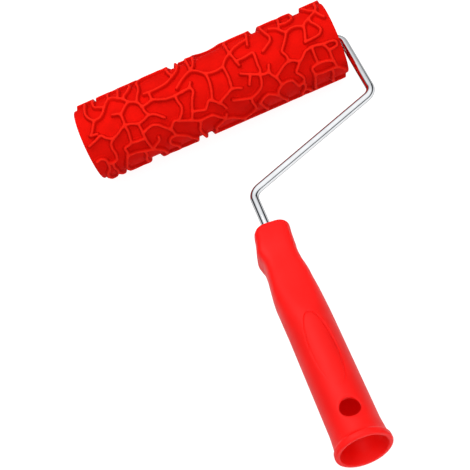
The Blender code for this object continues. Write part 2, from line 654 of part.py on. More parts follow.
def make_end_cap(name, side, parent, material):
    """A cap with a flange, a skirt inside the core tube, and a ribbed web that holds the hub."""
    web_face = cap_face - cap_web_recess
    profile = [
        (cap_flange_inner, bore_radius - fit_gap),
        (cap_face, bore_radius - fit_gap),
        (cap_face, skirt_inner_radius),
        (web_face, skirt_inner_radius),
        (web_face, hub_radius),
        (hub_face, hub_radius),
        (hub_face, hub_bore_radius),
        (skirt_end, hub_bore_radius),
        (skirt_end, hub_radius),
        (web_face - cap_web_thickness, hub_radius),
        (web_face - cap_web_thickness, skirt_inner_radius),
        (skirt_end, skirt_inner_radius),
        (skirt_end, skirt_radius),
        (cap_flange_inner, skirt_radius),
    ]
    cap = make_turned(name, profile, cap_sides, side, parent, material)
    embed = min(hub_wall, cap_skirt_wall) / 2
    inner = hub_radius - embed
    outer = skirt_inner_radius + embed
    low = web_face - cap_web_thickness / 2
    high = hub_face - cap_rib_step
    points = []
    faces = []
    for rib in range(cap_rib_count):
        angle = 2 * math.pi * (rib + 0.5) / cap_rib_count
        ahead = Vector((0, math.cos(angle), math.sin(angle)))
        aside = Vector((0, -math.sin(angle), math.cos(angle))) * cap_rib_thickness / 2
        first = len(points)
        for x in (low, high):
            for reach, sign in ((inner, -1), (outer, -1), (outer, 1), (inner, 1)):
                points.append(Vector((side * x, 0, 0)) + ahead * reach + aside * sign)
        faces.append([first, first + 1, first + 2, first + 3])
        faces.append([first + 4, first + 5, first + 6, first + 7])
        for i in range(4):
            j = (i + 1) % 4
            faces.append([first + i, first + j, first + 4 + j, first + 4 + i])
    ribs = make_object(name + "_ribs", mesh_from(name + "_ribs", points, faces), parent)
    boolean(cap, ribs, "UNION")
    return cap


def make_bush(name, side, parent, material):
    profile = [
        (skirt_end, rod_hole_radius),
        (bush_face, rod_hole_radius),
        (bush_face, bush_radius + bush_lip),
        (bush_face - bush_flange_thickness, bush_radius + bush_lip),
        (bush_face - bush_flange_thickness, bush_radius),
        (skirt_end, bush_radius),
    ]
    return make_turned(name, profile, fitting_sides, side, parent, material)


def make_stop_collar(parent, material):
    profile = [
        (collar_start, rod_hole_radius),
        (collar_face, rod_hole_radius),
        (collar_face, collar_radius - collar_chamfer),
        (collar_face - collar_chamfer, collar_radius),
        (collar_start + collar_chamfer, collar_radius),
        (collar_start, collar_radius - collar_chamfer),
    ]
    return make_turned("stop_collar", profile, fitting_sides, 1, parent, material)


def make_push_on_cap(parent, material):
    """The cup-shaped retainer that grips the rod's free end."""
    lip_face = push_cap_start + push_cap_lip_thickness
    end = push_cap_floor + push_cap_wall
    profile = [
        (push_cap_start, rod_hole_radius),
        (push_cap_floor, rod_hole_radius),
        (push_cap_floor, 0),
        (end, 0),
        (end, push_cap_radius - push_cap_round),
        (end - push_cap_round, push_cap_radius),
        (lip_face, push_cap_radius),
        (lip_face, push_cap_lip_radius),
        (push_cap_start, push_cap_lip_radius),
    ]
    return make_turned("push_on_cap", profile, fitting_sides, -1, parent, material)


def rounded_route(corners, radius, steps):
    """The corners of a route as points, with each inner corner rounded by an arc."""
    route = [corners[0]]
    for before, corner, after in zip(corners, corners[1:], corners[2:]):
        way_in = (corner - before).normalized()
        way_out = (after - corner).normalized()
        turn = way_in.angle(way_out)
        start = corner - way_in * radius * math.tan(turn / 2)
        inward = (way_out - way_in.dot(way_out) * way_in).normalized()
        for step in range(steps + 1):
            angle = turn * step / steps
            route.append(start + way_in * radius * math.sin(angle)
                         + inward * radius * (1 - math.cos(angle)))
    return route + [corners[-1]]


def make_wire_frame(parent, material):
    """The rod from its free end, through the roller, round the leg and the diagonal to the handle."""
    neck = Vector((neck_offset, neck_y, 0))
    corners = [
        Vector((-(push_cap_floor - fit_gap), 0, 0)),
        Vector((leg_x, 0, 0)),
        Vector((leg_x, leg_y, 0)),
        neck,
        neck + Vector((-math.sin(handle_lean), math.cos(handle_lean), 0)) * rod_end_y,
    ]
    route = rounded_route(corners, bend_radius, bend_steps)
    curve = bpy.data.curves.new("wire_frame", "CURVE")
    curve.dimensions = "3D"
    curve.bevel_depth = rod_radius
    curve.bevel_resolution = rod_resolution
    curve.use_fill_caps = True
    spline = curve.splines.new("POLY")
    spline.points.add(len(route) - 1)
    for spot, place in zip(spline.points, route):
        spot.co = (*place, 1)
    return make_object("wire_frame", curve, parent, material)


def handle_section(half_width, half_height, squareness=2, top_widening=0):
    """One turn of points (x, z) round a section that is an ellipse at a squareness of two."""
    power = 2 / squareness
    section = []
    for i in range(handle_sides):
        angle = 2 * math.pi * i / handle_sides
        across = math.copysign(abs(math.cos(angle)) ** power, math.cos(angle))
        up = math.copysign(abs(math.sin(angle)) ** power, math.sin(angle))
        section.append(((half_width + top_widening * up) * across, half_height * up))
    return section


def lengthwise_mesh(name, rows):
    """A closed body from sections along Y: each row is a Y place and its turn of (x, z) points."""
    points = [(x, y, z) for y, section in rows for x, z in section]
    sides = len(rows[0][1])
    faces = [list(range(sides)), list(range(len(points) - sides, len(points)))]
    for row in range(len(rows) - 1):
        for i in range(sides):
            j = (i + 1) % sides
            here = row * sides
            there = here + sides
            faces.append([here + i, here + j, there + j, there + i])
    return mesh_from(name, points, faces)


def make_panel_cutter(parent):
    """A curved pad over the top of the grip, as deep as the thumb panel and elliptical in outline."""
    columns = panel_columns
    middle_y = tail_y + panel_from_tail + panel_length / 2
    rows = []
    for step in range(1, panel_steps):
        angle = math.pi * step / panel_steps
        rows.append((middle_y - panel_length / 2 * math.cos(angle), panel_half_width * math.sin(angle)))
    points = []
    for radius in (grip_radius - panel_depth, grip_radius + cut_overrun):
        for y, half_width in rows:
            for column in range(columns + 1):
                angle = half_width / grip_radius * (2 * column / columns - 1)
                points.append((radius * math.sin(angle), y, radius * math.cos(angle)))
    across = columns + 1
    layer = across * len(rows)
    faces = []
    for row in range(len(rows) - 1):
        for column in range(columns):
            corner = row * across + column
            quad = [corner, corner + 1, corner + across + 1, corner + across]
            faces.append(quad)
            faces.append([i + layer for i in quad])
        for edge in (0, columns):
            corner = row * across + edge
            faces.append([corner, corner + across, corner + across + layer, corner + layer])
    for row in (0, len(rows) - 1):
        for column in range(columns):
            corner = row * across + column
            faces.append([corner, corner + 1, corner + 1 + layer, corner + layer])
    return make_object("thumb_panel_cutter", mesh_from("thumb_panel_cutter", points, faces), parent)


def make_cutter_along_y(name, rings, parent):
    rows = [(y, handle_section(radius, radius)) for y, radius in rings]
    return make_object(name, lengthwise_mesh(name, rows), parent)


def make_handle(parent, material):
    """The moulded handle: square at its head, round at its grip, with a pole socket in its tail."""
    rows = []
    for place, width_share, height_share, squareness, widening_share, offset_share in handle_row_shares:
        half_width = width_share * grip_radius
        half_height = height_share * grip_radius
        section = handle_section(half_width, half_height, squareness, widening_share * grip_radius)
        offset = offset_share * grip_radius
        rows.append((front_y - place * handle_length, [(x + offset, z) for x, z in section]))
    handle = make_object("handle", lengthwise_mesh("handle", rows), parent, material)
    handle.location = (neck_offset, neck_y, 0)
    handle.rotation_euler = (0, handle_roll, handle_lean)
    socket_rings = [
        (tail_y - cut_overrun, socket_mouth_radius),
        (tail_y, socket_mouth_radius),
        (tail_y + socket_taper_length, socket_bore_radius),
        (tail_y + socket_depth, socket_bore_radius),
    ]
    boolean(handle, make_cutter_along_y("pole_socket_cutter", socket_rings, handle), "DIFFERENCE")
    rod_rings = [
        (front_y + cut_overrun, rod_hole_radius),
        (rod_end_y - fit_gap, rod_hole_radius),
    ]
    boolean(handle, make_cutter_along_y("rod_hole_cutter", rod_rings, handle), "DIFFERENCE")
    reach = grip_radius + cut_overrun
    profile = [(-reach, 0), (-reach, hang_hole_radius), (reach, hang_hole_radius), (reach, 0)]
    hole_mesh = turned_mesh("hanging_hole_cutter", profile, fitting_sides)
    hole = make_object("hanging_hole_cutter", hole_mesh, handle)
    hole.location = (0, tail_y + hang_hole_from_tail, 0)
    hole.rotation_euler = (0, math.pi / 2, 0)
    boolean(handle, hole, "DIFFERENCE")
    boolean(handle, make_panel_cutter(handle), "DIFFERENCE")
    return handle


def main():
    clear_scene()
    red_rubber = make_material("red_rubber", (0.80, 0.012, 0.006), 0.45)
    red_plastic = make_material("red_plastic", (0.88, 0.010, 0.010), 0.32)
    white_plastic = make_material("white_plastic", (0.82, 0.82, 0.79), 0.40)
    grey_plastic = make_material("grey_plastic", (0.42, 0.42, 0.43), 0.50)
    bright_steel = make_material("bright_steel", (0.80, 0.80, 0.82), 0.12, 1.0)
    frame_datum = make_empty("frame_datum")
    roller_axis = make_empty("roller_axis")

    make_sleeve(roller_axis, red_rubber)
    make_core_tube(roller_axis, grey_plastic)
    for name, side in (("left", -1), ("right", 1)):
        make_end_cap("end_cap_" + name, side, roller_axis, red_plastic)
        make_bush("bearing_bush_" + name, side, roller_axis, white_plastic)
        thrust = washer_profile(thrust_start, thrust_face, rod_hole_radius, thrust_washer_radius)
        make_turned("thrust_washer_" + name, thrust, fitting_sides, side, frame_datum, white_plastic)
    flat = washer_profile(thrust_face + fit_gap, flat_washer_face, rod_hole_radius, flat_washer_radius)
    make_turned("flat_washer_left", flat, fitting_sides, -1, frame_datum, bright_steel)
    make_push_on_cap(frame_datum, bright_steel)
    make_stop_collar(frame_datum, bright_steel)
    make_wire_frame(frame_datum, bright_steel)
    make_handle(frame_datum, red_plastic)


main()
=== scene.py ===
# Pattern paint roller: the finish of every surface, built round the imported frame.
# The dictionaries hold millimetres. Places are from the roller's middle, but those of the lamps
# and of the floor's lit pool are from the frame's origin.
import json
import math
from types import SimpleNamespace

import bpy
import numpy as np
from mathutils import Euler, Matrix, Vector
from mathutils.geometry import delaunay_2d_cdt


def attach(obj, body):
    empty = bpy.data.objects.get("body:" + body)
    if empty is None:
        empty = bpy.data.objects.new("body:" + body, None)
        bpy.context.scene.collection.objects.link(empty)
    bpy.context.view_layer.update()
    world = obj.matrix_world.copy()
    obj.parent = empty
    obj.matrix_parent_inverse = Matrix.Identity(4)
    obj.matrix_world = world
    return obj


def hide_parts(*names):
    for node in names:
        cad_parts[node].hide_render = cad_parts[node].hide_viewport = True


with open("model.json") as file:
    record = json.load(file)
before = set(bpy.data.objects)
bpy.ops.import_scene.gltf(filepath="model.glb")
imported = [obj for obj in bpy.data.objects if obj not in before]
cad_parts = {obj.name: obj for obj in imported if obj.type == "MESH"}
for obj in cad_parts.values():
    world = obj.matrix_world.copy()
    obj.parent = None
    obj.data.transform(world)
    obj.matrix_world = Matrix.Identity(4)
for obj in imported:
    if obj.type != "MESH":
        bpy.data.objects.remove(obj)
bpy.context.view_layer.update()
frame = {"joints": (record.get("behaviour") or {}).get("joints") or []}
mm = 0.001
rollerCentre = Vector(frame["joints"][0]["pos_m"])
print("frame loaded")


# Small helpers

def pickUp(piece):
    bpy.ops.object.select_all(action="DESELECT")
    piece.select_set(True)
    bpy.context.view_layer.objects.active = piece


def editWhole(piece):
    pickUp(piece)
    bpy.ops.object.mode_set(mode="EDIT")
    bpy.ops.mesh.select_all(action="SELECT")


def addObject(name, data):
    added = bpy.data.objects.new(name, data)
    bpy.context.scene.collection.objects.link(added)
    return added


def putInPlace(piece, place=Matrix.Identity(4)):
    # from millimetres round the roller's middle to metres in the frame, the object left unmoved
    piece.data.transform(Matrix.Translation(rollerCentre) @ Matrix.Scale(mm, 4) @ place)
    piece.data.update()


def tidyMesh(piece, mergeDistance=1e-4):
    # joins seams and poles and turns every face outwards
    editWhole(piece)
    bpy.ops.mesh.remove_doubles(threshold=mergeDistance)
    bpy.ops.mesh.normals_make_consistent()
    bpy.ops.object.mode_set(mode="OBJECT")


def applyModifier(piece, kind, **settings):
    pickUp(piece)
    modifier = piece.modifiers.new(kind.title(), kind)
    for key, value in settings.items():
        setattr(modifier, key, value)
    bpy.ops.object.modifier_apply(modifier=modifier.name)


def combine(piece, operation, tool):
    # adds the tool's form to a piece or cuts it away, and uses the tool up
    applyModifier(piece, "BOOLEAN", operation=operation, solver="EXACT", object=tool)
    bpy.data.objects.remove(tool, do_unlink=True)


def roundEdges(piece, width, sharpAngle=30, steps=2):
    applyModifier(piece, "BEVEL", width=width, segments=steps, limit_method="ANGLE",
                  angle_limit=math.radians(sharpAngle))


def smoothShade(piece, sharpAngle=40):
    pickUp(piece)
    bpy.ops.object.shade_smooth_by_angle(angle=math.radians(sharpAngle))


def finishPiece(piece, material, body, slot, *nodes):
    piece.data.materials.clear()
    piece.data.materials.append(material)
    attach(piece, body)
    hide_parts(*nodes)
    print("made", piece.name, len(piece.data.polygons), "faces")


def gridPiece(name, rings):
    # a grid primitive laid along rings of equal length and closed at its seam
    sides = len(rings[0])
    bpy.ops.mesh.primitive_grid_add(x_subdivisions=sides, y_subdivisions=len(rings) - 1)
    piece = bpy.context.object
    piece.name = name
    places = np.array([list(ring) + [ring[0]] for ring in rings], dtype=np.float32)
    piece.data.vertices.foreach_set("co", places.ravel())
    tidyMesh(piece)
    return piece


def turnedPiece(name, outline, side):
    # an outline of (x, radius) spots, spun once round the roller's axis
    bpy.ops.mesh.primitive_circle_add(vertices=len(outline))
    piece = bpy.context.object
    piece.name = name
    for vertex, (x, radius) in zip(piece.data.vertices, outline):
        vertex.co = (side * x, 0, radius)
    editWhole(piece)
    bpy.ops.mesh.spin(steps=fitting["sides"], angle=2 * math.pi, axis=(1, 0, 0))
    bpy.ops.object.mode_set(mode="OBJECT")
    tidyMesh(piece, mergeDistance=1e-3)
    return piece


def blendSteps(edgeLow, edgeHigh, value):
    # 0 at the low edge and 1 at the high edge, with a smooth change between them
    share = np.clip((value - edgeLow) / (edgeHigh - edgeLow), 0, 1)
    return share * share * (3 - 2 * share)


def cubicBetween(t, run, low, high, leadLow, leadHigh):
    # from low to high as t goes from 0 to 1, along a run whose ends have the slopes of the leads
    return (
        (2 * t ** 3 - 3 * t ** 2 + 1) * low + (3 * t ** 2 - 2 * t ** 3) * high
        + run * ((t ** 3 - 2 * t ** 2 + t) * leadLow + (t ** 3 - t ** 2) * leadHigh)
    )


# Materials

def hexColour(text):
    # an sRGB hex value as linear light
    channels = [int(text[i:i + 2], 16) / 255 for i in (1, 3, 5)]
    linear = [c / 12.92 if c <= 0.04045 else ((c + 0.055) / 1.055) ** 2.4 for c in channels]
    return (*linear, 1.0)


def addNode(tree, kind, settings=None, **links):
    # settings are properties, or input values where the node has an input of that name
    node = tree.nodes.new(kind)
    for key, value in (settings or {}).items():
        if key in node.inputs:
            node.inputs[key].default_value = value
        else:
            setattr(node, key, value)
    for key, source in links.items():
        tree.links.new(source, node.inputs[key.replace("_", " ")])
    return node


def newMaterial(name, **surface):
    # a material with its node tree, its shader and the spots that its patterns start from
    material = bpy.data.materials.new(name)
    material.use_nodes = True
    tree = material.node_tree
    shader = tree.nodes["Principled BSDF"]
    for key, value in surface.items():
        shader.inputs[key.replace("_", " ")].default_value = value
    return material, tree, shader, addNode(tree, "ShaderNodeTexCoord").outputs["Object"]


def colourSteps(tree, source, *steps):
    # a ramp whose stops are (place, hex colour)
    ramp = addNode(tree, "ShaderNodeValToRGB", Fac=source)
    stops = ramp.color_ramp.elements
    while len(stops) < len(steps):
        stops.new(0.5)
    for stop, (place, colour) in zip(stops, steps):
        stop.position = place
        stop.color = hexColour(colour)
    return ramp.outputs["Color"]


def blotches(tree, spot, size, detail):
    # noise whose blotches are about this many millimetres wide
    noise = addNode(tree, "ShaderNodeTexNoise", {"Scale": 1 / (size * mm), "Detail": detail},
                    Vector=spot)
    return noise.outputs["Fac"]


def varyRoughness(tree, shader, source, low, high):
    spread = addNode(tree, "ShaderNodeMapRange", {"To Min": low, "To Max": high}, Value=source)
    tree.links.new(spread.outputs["Result"], shader.inputs["Roughness"])


def addBump(tree, shader, source, depth):
    bump = addNode(tree, "ShaderNodeBump", {"Distance": depth * mm}, Height=source)
    tree.links.new(bump.outputs["Normal"], shader.inputs["Normal"])


def mouldedRubber():
    # moulded natural rubber: a soft sheen; its colour steps with height, with a painted highlight
    # on the crests and painted shade on the ridges' sides, darkest near their feet
    look = {"grain": 0.5, "grainDepth": 0.012, "cloud": 11}
    material, tree, shader, spot = newMaterial(
        "MouldedRedRubber", Roughness=0.85, IOR=1.52, Specular_IOR_Level=0.02)
    across = Vector((0, 1, 1))
    fromAxis = addNode(tree, "ShaderNodeMapping",
                       {"Location": -rollerCentre * across, "Scale": across}, Vector=spot)
    radius = addNode(tree, "ShaderNodeVectorMath", {"operation": "LENGTH"},
                     Vector=fromAxis.outputs["Vector"])
    height = addNode(tree, "ShaderNodeMapRange", {
        "From Min": (sleeve["ridgeRadius"] - sleeve["ridgeHeight"]) * mm,
        "From Max": sleeve["ridgeRadius"] * mm,
    }, Value=radius.outputs["Value"])
    # painted light by height: floors plain, painted shade low on the ridges' sides, a painted
    # highlight on the crests
    paintedRidgeLightAndShade = colourSteps(
        tree, height.outputs["Result"], (0, "#D40F07"), (0.3, "#BE0A04"), (0.65, "#CC0F07"),
        (0.88, "#E0180D"), (1, "#EA2114"))
    cloud = blotches(tree, spot, look["cloud"], detail=3)
    shade = colourSteps(tree, cloud, (0.3, "#EDEDED"), (0.7, "#FFFFFF"))
    mixed = addNode(tree, "ShaderNodeMix",
                    {"data_type": "RGBA", "blend_type": "MULTIPLY", "Factor": 1})
    firstColour, secondColour, colourOut = 6, 7, 2  # the places of the node's colour sockets
    tree.links.new(paintedRidgeLightAndShade, mixed.inputs[firstColour])
    tree.links.new(shade, mixed.inputs[secondColour])
    tree.links.new(mixed.outputs[colourOut], shader.inputs["Base Color"])
    addBump(tree, shader, blotches(tree, spot, look["grain"], detail=2), look["grainDepth"])
    return material


def mouldedPlastic(name, low, high, roughness, glow):
    # injection moulded plastic: even colour, faint orange peel, a semi-gloss skin; its glow is how
    # deep red, green and blue light reach into it, in millimetres
    look = {"peel": 1.6, "peelDepth": 0.006, "cloud": 24, "wipe": 6, "glossier": 0.04,
            "duller": 0.05}
    material, tree, shader, spot = newMaterial(
        name, IOR=1.49, Specular_IOR_Level=0.22, Subsurface_Weight=0.6, Subsurface_Scale=mm,
        Subsurface_Radius=glow)
    cloud = blotches(tree, spot, look["cloud"], detail=2)
    tree.links.new(colourSteps(tree, cloud, (0.3, low), (0.7, high)), shader.inputs["Base Color"])
    varyRoughness(tree, shader, blotches(tree, spot, look["wipe"], detail=4),
                  roughness - look["glossier"], roughness + look["duller"])
    addBump(tree, shader, blotches(tree, spot, look["peel"], detail=1), look["peelDepth"])
    return material


def platedSteel(name, low, high, roughness):
    # bright plate on drawn steel: a mirror with a faint polishing haze
    look = {"haze": 5, "polish": 3, "polishDepth": 0.002, "clearest": 0.7, "dullest": 1.4}
    material, tree, shader, spot = newMaterial(
        name, Metallic=1, Specular_Tint=hexColour("#808080"))
    haze = blotches(tree, spot, look["haze"], detail=5)
    tree.links.new(colourSteps(tree, haze, (0.35, low), (0.65, high)), shader.inputs["Base Color"])
    varyRoughness(tree, shader, haze, roughness * look["clearest"], roughness * look["dullest"])
    addBump(tree, shader, blotches(tree, spot, look["polish"], detail=2), look["polishDepth"])
    return material


def extrudedPlastic():
    # extruded grey polypropylene pipe: matt, with faint draw lines along the roller
    look = {"line": 0.8, "lineLength": 60, "lineDepth": 0.015, "clearest": 0.48, "dullest": 0.62}
    material, tree, shader, spot = newMaterial("ExtrudedGreyPolypropylene", IOR=1.49)
    drawn = addNode(tree, "ShaderNodeMapping",
                    {"Scale": (look["line"] / look["lineLength"], 1, 1)}, Vector=spot)
    lines = blotches(tree, drawn.outputs["Vector"], look["line"], detail=2)
    tree.links.new(colourSteps(tree, lines, (0.3, "#8A8B8D"), (0.7, "#98999B")),
                   shader.inputs["Base Color"])
    varyRoughness(tree, shader, lines, look["clearest"], look["dullest"])
    addBump(tree, shader, lines, look["lineDepth"])
    return material


# Rubber sleeve with its crackle of ridges

sleeve = {
    "length": 180, "ridgeRadius": 27.25, "ridgeHeight": 2.8, "wall": 3.2, "rimRound": 0.6,
    "boreEdge": 0.3,
    "crestHalf": 0.35,  # from a ridge's middle line to where its side starts
    "footHalf": 1.95,  # and to where its side ends
    "patternStart": 49,  # degrees from the back to where the pattern's count round starts
    "rimSides": 180, "curveEase": 0.7, "curveSteps": 8, "alongStep": 1.0, "floorStep": 2.4,
    "besideSteps": (0.4, 0.75, 1.1, 1.5, 1.9, 2.35),
    "endSpots": 3,  # the fewest spots in a row round a ridge's end
    "closest": 0.3,  # the least distance from spot to spot
    "tooNear": 0.1,  # how far a spot beside one ridge may be inside the next ridge's rows
    "floorGap": 0.9,  # from a ridge's outer row to the floor's own spots
    "fieldGap": 1,  # how far past that row the ridges' distances are worked out
    "rimGap": 0.4,  # from the rims to the nearest spots
}
sleeveTurn = 2 * math.pi * sleeve["ridgeRadius"]

# The pattern's ridges as chains of points: the place along the sleeve in percent of its length,
# and round it in percent of half a turn. The first chains lie on both halves of the sleeve, half
# a turn apart, and the two sets of links join the halves.
ridgeLineShares = [
    [(1.8, 50.8), (4.5, 49), (7.5, 47), (8.6, 50), (10.8, 53)],
    [(7, 33.5), (6, 37.5), (4.7, 42), (3.7, 43.6), (6.3, 44.5)],
    [(5.1, 12), (4.8, 18), (4.7, 24), (5.4, 29), (7, 33.5)],
    [(7, 33.5), (9.4, 32.9), (11.1, 29.4), (12.1, 25.2), (13.1, 21.5), (14.4, 16.8), (14.3, 12)],
    [(12.1, 25.2), (10.3, 22.8), (8.7, 20.5), (8.2, 16), (8.2, 12)],
    [(10.8, 53), (13.3, 50.9), (15.2, 48.3), (16.7, 47), (17, 42), (17, 37.2)],
    [(14.4, 16.8), (16.1, 18.4), (17.9, 21.8), (19.7, 25.3), (21.1, 30), (24, 33.5), (25.2, 38.8)],
    [(25.2, 38.8), (25.4, 43.5), (26.3, 47)], [(18.4, 12), (18.2, 17), (17.9, 21.8)],
    [(19.7, 25.3), (20.6, 21.5), (22, 18.6), (23, 14)],
    [(21.1, 30), (19.3, 32.8), (18, 35.6), (17, 37.2), (15.6, 35.9), (14.1, 35.1)],
    [(24, 33.5), (24.8, 28.5), (25.8, 24), (26.2, 19), (25.9, 13)],
    [(16.7, 47), (19.2, 47.9), (21.5, 50.1), (24, 49), (26.3, 47), (28.2, 48.3), (31.1, 53.8)],
    [(16.7, 47), (17, 52), (16.7, 57), (16.2, 61.8), (13.2, 64.3), (13.4, 68), (13, 71.3)],
    [(16.2, 61.8), (18.5, 62.7), (21.5, 63)],
    [(21.5, 50.1), (21.6, 54.2), (21.6, 58.7), (21.5, 63), (21.7, 67.5), (22, 71.5), (22.4, 76)],
    [(13, 71.3), (16.5, 71.9), (19.3, 73.8), (22.4, 76)],
    [(13, 71.3), (12, 75), (11.1, 80), (10.4, 84), (10.3, 88)],
    [(19.3, 73.8), (19.3, 79), (18.4, 84), (18.2, 88)],
    [(10.8, 53), (9.4, 56.2), (9.1, 60.5), (9.4, 65), (8.6, 70.7), (6.7, 72), (5.3, 70.5)],
    [(5.3, 70.5), (5, 66.3), (3.6, 64.3), (1.8, 65.2)],
    [(5.3, 70.5), (4.8, 76), (3, 82), (2.5, 88)], [(6.7, 72), (6.4, 77), (6.8, 82), (6.5, 88)],
    [(21.6, 58.7), (23.7, 56.6), (26, 55.5), (28, 57.4), (29.8, 61.5), (31.4, 65)],
    [(22.4, 76), (24, 72.5), (25.7, 70), (26.2, 66.8)],
    [(22.4, 76), (24.3, 79.5), (25.6, 83.3), (25.9, 88)],
    [(25.2, 38.8), (27.3, 38.4), (29.4, 37), (31.5, 38.8), (34, 40.8), (37.7, 41.5), (40.6, 40.9)],
    [(40.6, 40.9), (43.6, 40), (44.6, 36.3)], [(29.4, 37), (29.3, 33), (29.3, 29.6), (27.4, 29.1)],
    [(29.3, 29.6), (33, 29.4), (36.6, 28), (39.4, 24), (41.3, 20), (42.2, 14)],
    [(38, 12), (38.4, 18), (39.4, 24)],
    [(39.3, 36.2), (41.2, 32.8), (43.6, 29.2), (46.3, 26.6), (48.4, 29.4), (50.9, 34.9)],
    [(46.3, 26.6), (46.2, 19), (45.9, 12)], [(46.3, 26.6), (47.5, 23.2), (48.3, 17.5), (48.5, 12)],
    [(50.9, 34.9), (51.1, 40), (50.9, 45), (50.3, 50.5), (49.3, 56.4)],
    [(43.6, 40), (44.4, 43.2), (43, 49), (41.9, 54), (41.2, 58.3), (40.4, 62), (39.7, 65)],
    [(37.7, 41.5), (37.8, 46.5), (38.3, 51.2), (37.7, 55), (35.4, 60.8)],
    [(31.4, 65), (32.5, 62), (33.8, 59.4), (35.4, 60.8), (37.6, 63), (39.7, 65), (42.5, 68.5)],
    [(41.2, 58.3), (43.6, 59.9), (45.8, 61.1), (47.1, 58), (48.1, 55.6), (49.3, 56.4)],
    [(49.3, 56.4), (50.4, 58.8), (51.5, 61.2), (52.4, 64), (53, 67.6)],
    [(31.4, 65), (31.9, 68.5), (32, 71.7)],
    [(32, 71.7), (30.3, 72.2), (29, 75.9), (29.2, 79.6), (30.5, 83.3), (31.2, 88)],
    [(32, 71.7), (34.2, 74.8), (36, 78.3), (37, 83), (38.8, 88)],
    [(42.5, 68.5), (45, 67.8), (47.4, 68.2), (49, 71.8), (51.2, 76.8)],
    [(42.5, 68.5), (41.8, 72.4), (41, 77), (41.2, 82.5), (41.6, 88)],
    [(51.2, 76.8), (48.8, 80.2), (46.6, 83.8), (46.6, 88)],
    [(50.9, 34.9), (53, 36), (55.4, 36.4), (57.5, 35.7), (57.9, 40.5), (58, 45.5), (57.8, 50)],
    [(57.8, 50), (57.5, 54.5)], [(57.5, 35.7), (58.7, 31.9), (60.2, 28.6), (61.7, 26.6)],
    [(61.7, 26.6), (61.5, 22), (61.4, 17), (61.1, 12)],
    [(61.7, 26.6), (62.3, 31), (62.8, 35.8), (63.2, 39.7)],
    [(61.7, 26.6), (64, 22.7), (66.8, 20.3), (69.3, 18.8), (70, 12)],
    [(69.3, 18.8), (69.2, 22.5), (68.8, 26)],
    [(62.8, 35.8), (66.3, 35.5), (69.6, 34.6), (69.6, 40), (69.4, 45.4), (69.5, 49.6),
     (68.8, 52.9)], [(62.5, 46.4), (65.6, 49.8), (68.8, 52.9), (70.3, 54.1), (72.1, 53.8)],
    [(65.6, 49.8), (64.8, 53.2), (63.9, 57)],
    [(68.8, 52.9), (68.4, 58), (67.6, 62.4), (65.8, 65.4), (62.6, 68.4)],
    [(72.1, 53.8), (72.5, 51.4), (73, 48.8)],
    [(72.1, 53.8), (72.7, 57.2), (73.8, 60.3), (74.3, 64), (74.7, 68)],
    [(73.8, 60.3), (75.6, 57.4), (77.8, 54.2), (80.2, 52.3)],
    [(56.3, 63.4), (58.2, 65), (60.3, 66.4), (62.6, 68.4), (62.5, 72.6), (63, 77), (62.9, 81)],
    [(62.9, 81), (60.6, 84.6), (57.6, 88.5)],
    [(51.5, 61.2), (53.1, 58.9), (55.2, 56.8), (57.5, 54.5), (59.2, 55.3), (60.8, 57)],
    [(52.1, 73), (51.2, 76.8), (53.4, 79), (55.2, 82.8), (57.6, 88.5)],
    [(65, 76.4), (66.8, 72.8), (68.8, 71.2), (70.7, 73.8), (72.2, 76.6)],
    [(72.2, 76.6), (72.8, 72), (74.7, 68)], [(72.2, 76.6), (73.1, 81), (74, 85), (74.6, 88)],
    [(65, 76.4), (65.5, 80.5), (66, 84.5), (66.7, 88)],
    [(73, 37), (75, 34.2), (76.8, 31.3), (77.3, 27.4), (76.6, 22.6), (75.9, 17), (75.6, 12)],
    [(78.2, 18.4), (79.9, 20.6), (81.5, 24), (82.2, 27.2), (83.4, 29.8)],
    [(81.5, 24), (82.2, 18.5), (82.7, 12)], [(82.2, 18.5), (84.6, 20.4), (87.2, 18.3), (87.6, 12)],
    [(83.4, 29.8), (82.4, 34), (80.8, 38.8), (79.2, 43.5), (80.1, 48), (80.2, 52.3)],
    [(83.4, 29.8), (85.4, 28.2), (87.6, 28.4), (90, 31), (91.1, 28.4), (92.7, 26.8)],
    [(90, 31), (89.6, 35.4), (88.9, 40), (88.3, 43.9)],
    [(88.3, 43.9), (91.3, 43.6), (94, 42.6), (95.1, 39.6), (94.3, 35), (93, 30.6), (92.7, 26.8)],
    [(92.7, 26.8), (94.2, 24.2), (96, 21.6), (97, 17), (97.2, 12)],
    [(93, 12), (94.2, 17.6), (96, 21.6), (96.7, 26.3), (98, 30.6)],
    [(80.2, 52.3), (82, 53.6), (83.8, 56), (85.4, 53.6), (86.8, 50.8), (89.6, 49.5), (92, 50)],
    [(92, 50), (93.6, 51), (96.2, 51), (98.3, 52.6), (98.4, 55.6), (95, 57.3)],
    [(83.8, 56), (82.4, 59.6), (81.2, 63.2), (82.2, 66.6), (83, 70.6), (82.5, 74.6), (80.4, 76.2)],
    [(80.4, 76.2), (79.6, 72.2), (78.9, 68.4), (77.2, 67.1), (74.7, 68)],
    [(89.6, 49.5), (89.5, 54.3), (89.5, 59), (89.6, 63.6)],
    [(87.3, 72), (87, 65.4), (89.6, 63.6), (91.6, 63.8), (93.6, 65), (95.2, 67.2)],
    [(93.6, 51), (94.4, 54), (95, 57.3), (95, 62.2), (95.2, 67.2), (95.7, 73.8)],
    [(87.3, 72), (90, 73.2), (93.7, 73.3), (95.7, 73.8), (97.2, 76.7), (98.5, 79.8)],
    [(87.3, 72), (86.9, 76.5), (86.4, 82), (86.2, 88)],
    [(93.7, 73.3), (93.9, 78.5), (93.4, 83.5), (93.2, 88)],
    [(82.5, 74.6), (82.7, 79.4), (82.2, 83.6), (81, 88.5)], [(82.2, 83.6), (83.4, 86), (84, 88)],
]
